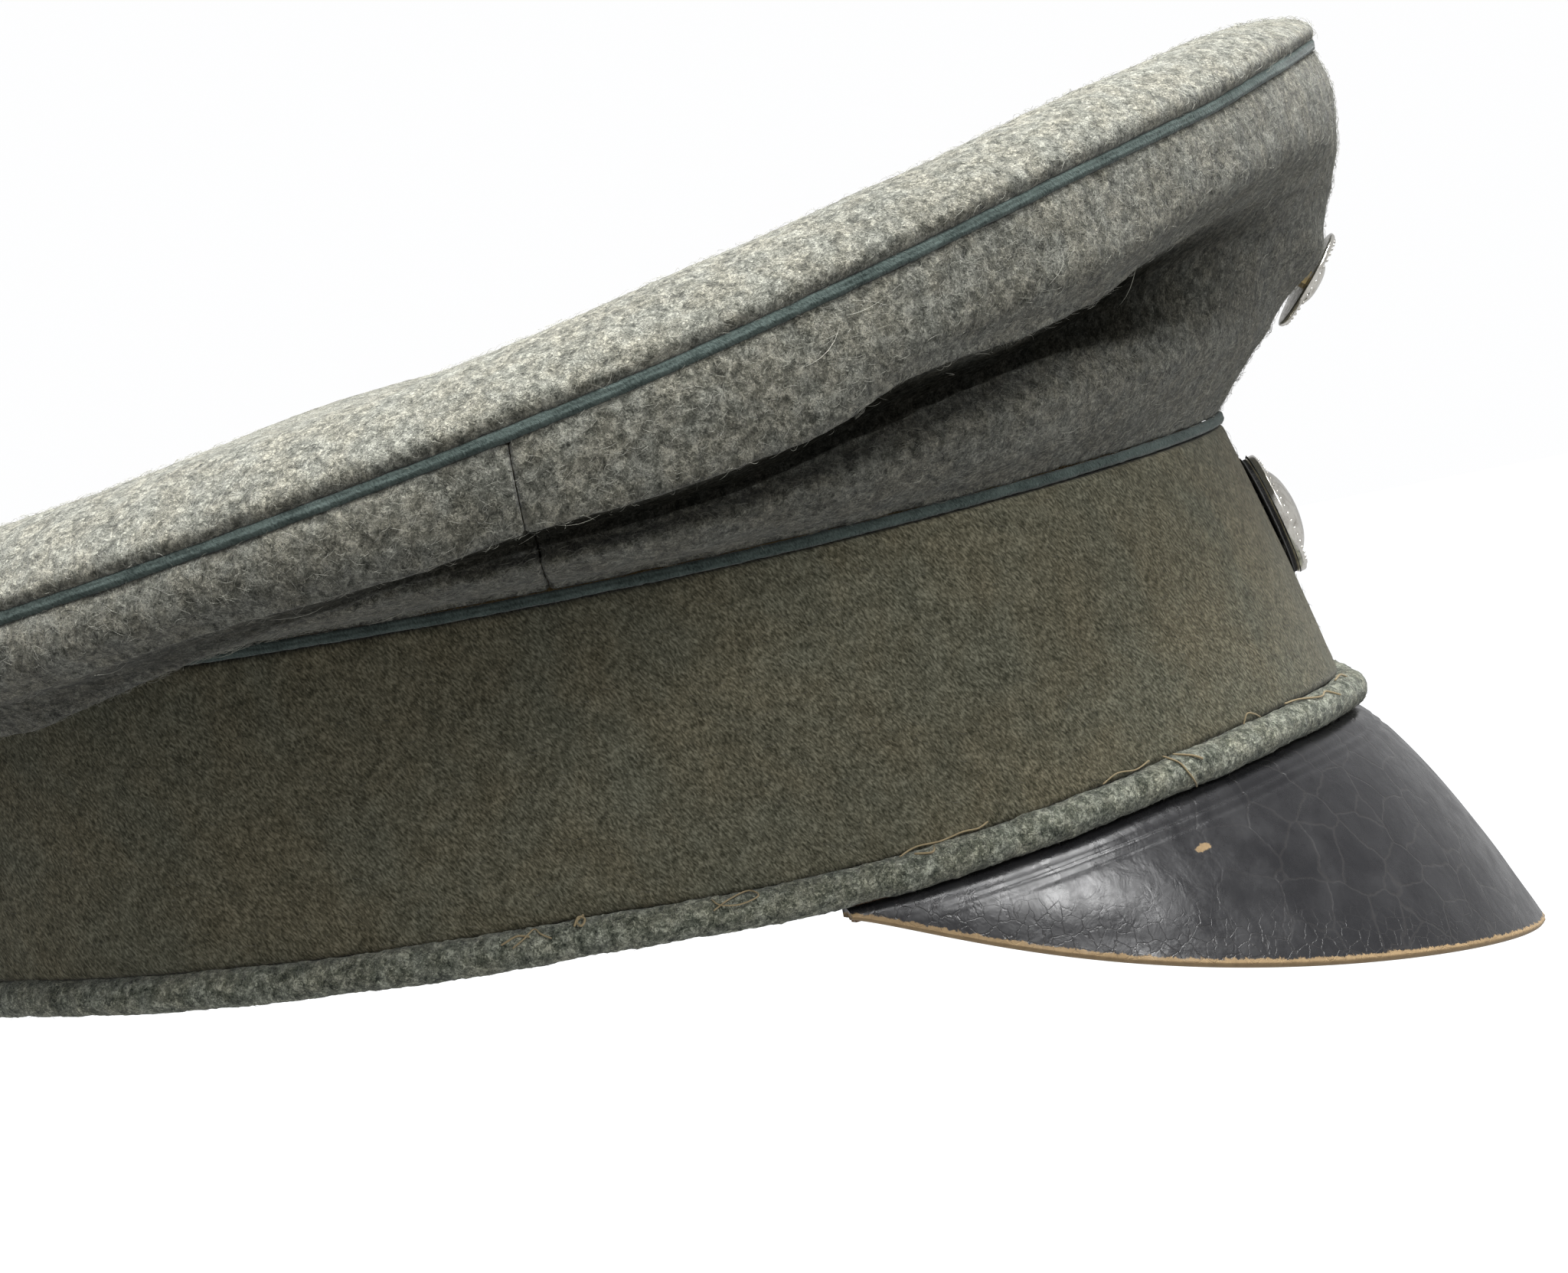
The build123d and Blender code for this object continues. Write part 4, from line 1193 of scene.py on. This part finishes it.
def bead(centre, radius):
    """A small ball from a subdivided cube."""
    at = np.array([[x, y, z] for x in (-1, 1) for y in (-1, 1) for z in (-1, 1)], float)
    sides = [(0, 1, 3, 2), (4, 6, 7, 5), (0, 4, 5, 1), (2, 3, 7, 6), (0, 2, 6, 4), (1, 5, 7, 3)]
    steps = (0, .33, .67, 1)
    points, faces = [], []
    for a, b, c, d in at[np.array(sides)]:
        faces.append(grid_faces(4, 4, start=len(points) * 16))
        bent = a - b + c - d
        points.append([[a + (b - a) * u + (d - a) * v + bent * u * v for v in steps] for u in steps])
    points = np.reshape(points, (-1, 3))
    points = centre + radius * points / np.linalg.norm(points, axis=1, keepdims=True)
    return points, np.concatenate(faces)


def badge_felt():
    base, axes, radius, _ = badge_frame("lower_badge_felt")
    radius = radius - 0.7
    r, t, w = turned_section(smooth_path([
        (0.02, 0.0), (radius - 0.2, 0.0), (radius, 0.35), (radius, 0.85), (radius - 0.25, 1.2), (0.02, 1.2),
    ], 60), 240)
    ragged = 0.12 * noise(np.stack([9 * np.cos(rad(t)), 9 * np.sin(rad(t)), w], -1), 1.3)
    r = r + ragged * (r > radius - 0.6)
    made = turned_plate("lower_badge_felt_disc", base + around_axis(axes, r, t, w), FELT)
    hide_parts("lower_badge_felt")


# ---- threads, hairs and nap -------------------------------------------------------
def by_the_seam(angle, height, out):
    """A point just off the welt or the band, at a height above the lower edge."""
    low = np.clip(height - WELT_RADIUS, -WELT_RADIUS, WELT_RADIUS)
    welt_out = oval_radius(BAND_FOOT, angle) - 0.2 + np.sqrt(WELT_RADIUS ** 2 - low ** 2)
    z = edge_height(angle) + height
    return place(angle, np.maximum(welt_out, band_radius(angle, z)) + out, z)


# Remnants of tan basting thread on the right side: angle, height above the edge, and stand-off.
THREADS = (
    ((98.6, 3.0, 0.2), (97.6, 3.9, 0.5), (96.8, 4.7, 0.3), (96.2, 4.1, 0.35), (95.4, 3.4, 0.3)),
    ((99.5, 3.6, 0.2), (98.2, 4.3, 0.35), (97.2, 4.0, 0.25)),
    ((93.4, 4.3, 0.3), (93.0, 5.2, 0.7), (92.5, 4.8, 0.8), (92.8, 4.2, 0.6), (93.2, 4.7, 0.5),
     (92.6, 5.3, 0.4)),
    ((82.0, 3.4, 0.2), (80.6, 4.4, 0.6), (78.8, 4.9, 0.6), (78.2, 4.2, 0.6), (79.8, 3.6, 0.5),
     (81.4, 3.9, 0.4), (81.9, 4.6, 0.1)),
    ((65.8, 4.7, 0.05), (64.2, 5.3, 0.3), (62.0, 5.1, 0.25), (60.0, 5.4, 0.35), (58.6, 5.2, 0.3),
     (57.6, 5.6, 0.1)),
    ((64.6, 4.6, 0.1), (63.4, 4.3, 0.4), (62.6, 4.8, 0.2)),
    ((46.6, 5.0, 0.1), (45.2, 5.7, 0.4), (43.4, 5.2, 0.4), (41.8, 5.6, 0.15)),
    ((40.3, 5.4, 0.1), (39.9, 4.2, 0.3), (39.6, 2.6, 0.22), (39.0, 1.2, 0.3), (38.2, 0.2, 0.35)),
    ((39.2, 5.1, 0.1), (38.4, 4.4, 0.5), (37.8, 3.6, 0.35)),
    ((30.6, 5.0, 0.1), (30.2, 6.2, 0.4), (29.4, 5.8, 0.5), (28.4, 5.0, 0.2)),
    ((24.4, 5.2, 0.1), (22.4, 5.0, 0.4), (20.2, 4.4, 0.5), (18.4, 4.6, 0.4), (17.4, 3.6, 0.6)),
    ((13.0, 4.9, 0.1), (11.6, 5.3, 0.4), (10.4, 4.7, 0.15)),
)


def basting():
    paths = [smooth_path([by_the_seam(*p) for p in thread], 40) for thread in THREADS]
    radii = [0.11 + 0.025 * (i % 3) for i in range(len(paths))]
    made = tubes("basting_thread_ends", paths, radii, THREAD)
    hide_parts("basting_threads")


FIBRE_TAPER = np.array([0.5, 1, 1, 1, 0.9, 0.7, 0.35])
OPEN_TO_LIGHT = 0.25  # cloth with more painted fold shade than this has no fibres standing up


def nap(name, grid, count, length, lift, radius, material, seed, fold_shade=None):
    """Loose fibres of the cloth: thin curly prisms rooted in a grid of its surface."""
    draw = np.random.default_rng(seed)
    rows = draw.integers(1, grid.shape[0] - 1, count)
    columns = draw.integers(1, grid.shape[1] - 1, count)
    # Fibres are left out where the cloth has strong painted shade.
    if fold_shade is not None:
        kept = fold_shade[rows, columns] < OPEN_TO_LIGHT
        rows, columns = rows[kept], columns[kept]
        count = len(rows)
    root, normals = grid[rows, columns], grid_normals(grid)[rows, columns]
    along = grid[rows + 1, columns] - grid[rows - 1, columns]
    along /= np.linalg.norm(along, axis=1, keepdims=True)
    across = np.cross(normals, along)
    lean = draw.uniform(0, 2 * np.pi, count)[:, None]
    sizes = length * draw.uniform(0.5, 1.5, count)[:, None]
    bend = draw.normal(0, 1.3, count)[:, None]
    rise = lift * draw.uniform(0.2, 1.6, count)[:, None]
    rings = len(FIBRE_TAPER)
    steps = np.linspace(0, 1, rings)
    heading = lean + bend * steps
    stride = sizes / (rings - 1)
    x = np.cumsum(np.cos(heading) * stride, 1) - sizes / 2 * np.cos(lean)
    y = np.cumsum(np.sin(heading) * stride, 1) - sizes / 2 * np.sin(lean)
    z = rise * np.sin(np.pi * steps * draw.uniform(0.5, 1, count)[:, None]) - 0.05
    normals, across = normals[:, None], across[:, None]
    path = root[:, None] + x[..., None] * along[:, None] + y[..., None] * across + z[..., None] * normals
    thin = (radius * FIBRE_TAPER)[None, :, None]
    ways = normals, across - 0.5 * normals, -across - 0.5 * normals
    points = np.stack([path + thin * way for way in ways], 2).reshape(-1, 3)
    base = np.arange(count)[:, None, None] * 3 * rings
    quads = (grid_faces(rings, 3, wrap_columns=True)[None] + base).reshape(-1, 4)
    caps = np.array([(2, 1, 0), (3 * rings - 3, 3 * rings - 2, 3 * rings - 1)])[None] + base
    made = mesh_object(name, points, [quads, caps.reshape(-1, 3)], material)


# ---- assembly ---------------------------------------------------------------------
# Start angle of each quarter of the crown's side, and its cut: width, length and area in metres.
FRONT_CUT = (0.075, 0.20, 0.0097)
REAR_CUT = (0.065, 0.19, 0.0080)
QUARTERS = {
    "front_right_quarter": (0, FRONT_CUT), "rear_right_quarter": (90, REAR_CUT),
    "rear_left_quarter": (180, REAR_CUT), "front_left_quarter": (270, FRONT_CUT),
}
quarter_grids = []
for quarter, (start, (cut_width, cut_length, cut_area)) in QUARTERS.items():
    made, grid, fold_shade = crown_quarter(quarter + "_cloth", start)
    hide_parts(quarter)
    quarter_grids.append((grid, fold_shade))

top, top_surface = top_panel()
pipings()
welt_surface = welt()
band, band_surface = band_cloth()
edge_binding()
cord = twisted_cord("welt_cord_laid", welt_line, 1.35, 3, 9, COTTON)
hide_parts("welt_cord")
peak_leather()
peak_lining()
peak_stitches()
sweatband()
side_lining_cloth = side_lining()
top_lining_cloth = top_lining()
pocket = stay_pocket()
wadding()
badge("lower_badge_disc", "lower_badge", 44, LOWER_SECTION, 0.0, -0.6)
badge("upper_badge_disc", "upper_badge", 36, UPPER_SECTION, 0.1, 0.15)
badge_felt()
basting()

CAD_FINISHES = {
    "band_stiffener": BOARD, "front_stay": STEEL, "crown_grommet": STEEL,
    "grommet_ferrule": STEEL, "lower_badge_prongs": BRASS, "upper_badge_prongs": BRASS,
}
for node, finish in CAD_FINISHES.items():
    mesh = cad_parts[node].data
    mesh.materials.clear()
    mesh.materials.append(finish)

for i, (grid, fold_shade) in enumerate(quarter_grids):
    nap(f"quarter_nap_{i + 1}", grid, 5600, 1.6, 0.36, 0.024, CROWN_FIBRE, 20 + i, fold_shade)
nap("top_nap", top_surface[:, :70], 9000, 1.6, 0.36, 0.024, CROWN_FIBRE, 31)
nap("band_nap", band_surface, 3600, 1.4, 0.25, 0.02, BAND_FIBRE, 32)
nap("welt_nap", welt_surface, 5000, 1.6, 0.45, 0.026, CROWN_FIBRE, 33)
right_side = np.concatenate([grid for grid, fold_shade in quarter_grids[:2]])
nap("loose_hairs", right_side, 40, 6.0, 1.0, 0.028, HAIR, 34)


# ---- camera, light and stage ------------------------------------------------
# Metres and degrees.
CAMERA_DISTANCE = 0.7
CAMERA_ELEVATION = 4.0
CAMERA_ROLL = -11.17
CAMERA_SHIFT = (0.02145, 0.03342)
CAMERA_LENS = 112.5


def camera():
    e, r = rad(CAMERA_ELEVATION), rad(CAMERA_ROLL)
    forward = np.array([np.cos(e), 0, -np.sin(e)])
    level = np.array([0, -1.0, 0])
    upright = np.cross(level, forward)
    right = np.cos(r) * level + np.sin(r) * upright
    up = -np.sin(r) * level + np.cos(r) * upright
    data = bpy.data.cameras.new("camera")
    data.lens = CAMERA_LENS
    data.sensor_width = 36
    data.clip_start = 0.01
    made = bpy.data.objects.new("camera", data)
    bpy.context.scene.collection.objects.link(made)
    spot = -CAMERA_DISTANCE * forward + CAMERA_SHIFT[0] * right + CAMERA_SHIFT[1] * up
    turn = Matrix((right, up, -forward)).transposed()
    made.matrix_world = Matrix.Translation(spot) @ turn.to_4x4()
    bpy.context.scene.camera = made


def softbox(name, spot, size, power):
    """A square area light aimed at the cap."""
    data = bpy.data.lights.new(name, "AREA")
    data.size = size
    data.energy = power
    made = bpy.data.objects.new(name, data)
    made.location = spot
    made.rotation_euler = (-Vector(spot)).to_track_quat("-Z", "Y").to_euler()
    bpy.context.scene.collection.objects.link(made)


def studio():
    """A white surround that lights the cap a little more from below than from above."""
    world = bpy.data.worlds.new("studio")
    bpy.context.scene.world = world
    world.use_nodes = True
    nodes = Nodes(world.node_tree)
    shade = nodes.tree.nodes["Background"]
    shade.inputs["Color"].default_value = (0.99, 0.992, 0.997, 1)
    direction = nodes.node("ShaderNodeTexCoord").outputs["Generated"]
    level = nodes.node("ShaderNodeSeparateXYZ", {0: direction}).outputs["Z"]
    lighting = nodes.node("ShaderNodeMapRange", {
        "Value": level, "From Min": -0.2, "From Max": 0.6, "To Min": 0.55, "To Max": 0.43,
    }).outputs[0]
    seen = nodes.node("ShaderNodeLightPath").outputs["Is Camera Ray"]
    strength = nodes.node("ShaderNodeMapRange", {"Value": seen, "To Min": lighting, "To Max": 1.0})
    nodes.wire(strength.outputs[0], shade.inputs["Strength"])
    softbox("top_light", (-0.1, -0.1, 1.5), 1.3, 103)
    softbox("front_light", (-0.72, -0.9, 0.8), 0.4, 7.5)
    bpy.context.scene.view_settings.view_transform = "Standard"


FLOOR_HALF = 3.0
FLOOR_LEVEL = -0.16


def floor():
    """White paper under the cap, clear from below."""
    paint = Material("floor_paint", Roughness=0.9)
    paint.set(Emission_Color=(0.96, 0.97, 0.98, 1), Emission_Strength=0.94)
    behind = paint.node("ShaderNodeNewGeometry").outputs["Backfacing"]
    paint.set(Base_Color=paint.mix(paint.noise(400, 3), (0.10, 0.10, 0.10), (0.12, 0.12, 0.12)),
              Alpha=paint.math("SUBTRACT", 1.0, behind))
    signs = ((-1, -1), (1, -1), (1, 1), (-1, 1))
    corners = [(x * FLOOR_HALF, y * FLOOR_HALF, FLOOR_LEVEL) for x, y in signs]
    mesh = bpy.data.meshes.new("floor")
    mesh.from_pydata(corners, [], [(0, 1, 2, 3)])
    made = bpy.data.objects.new("floor", mesh)
    mesh.materials.append(paint.material)
    made.visible_diffuse = False
    made.visible_glossy = False
    bpy.context.scene.collection.objects.link(made)


camera()
studio()
floor()
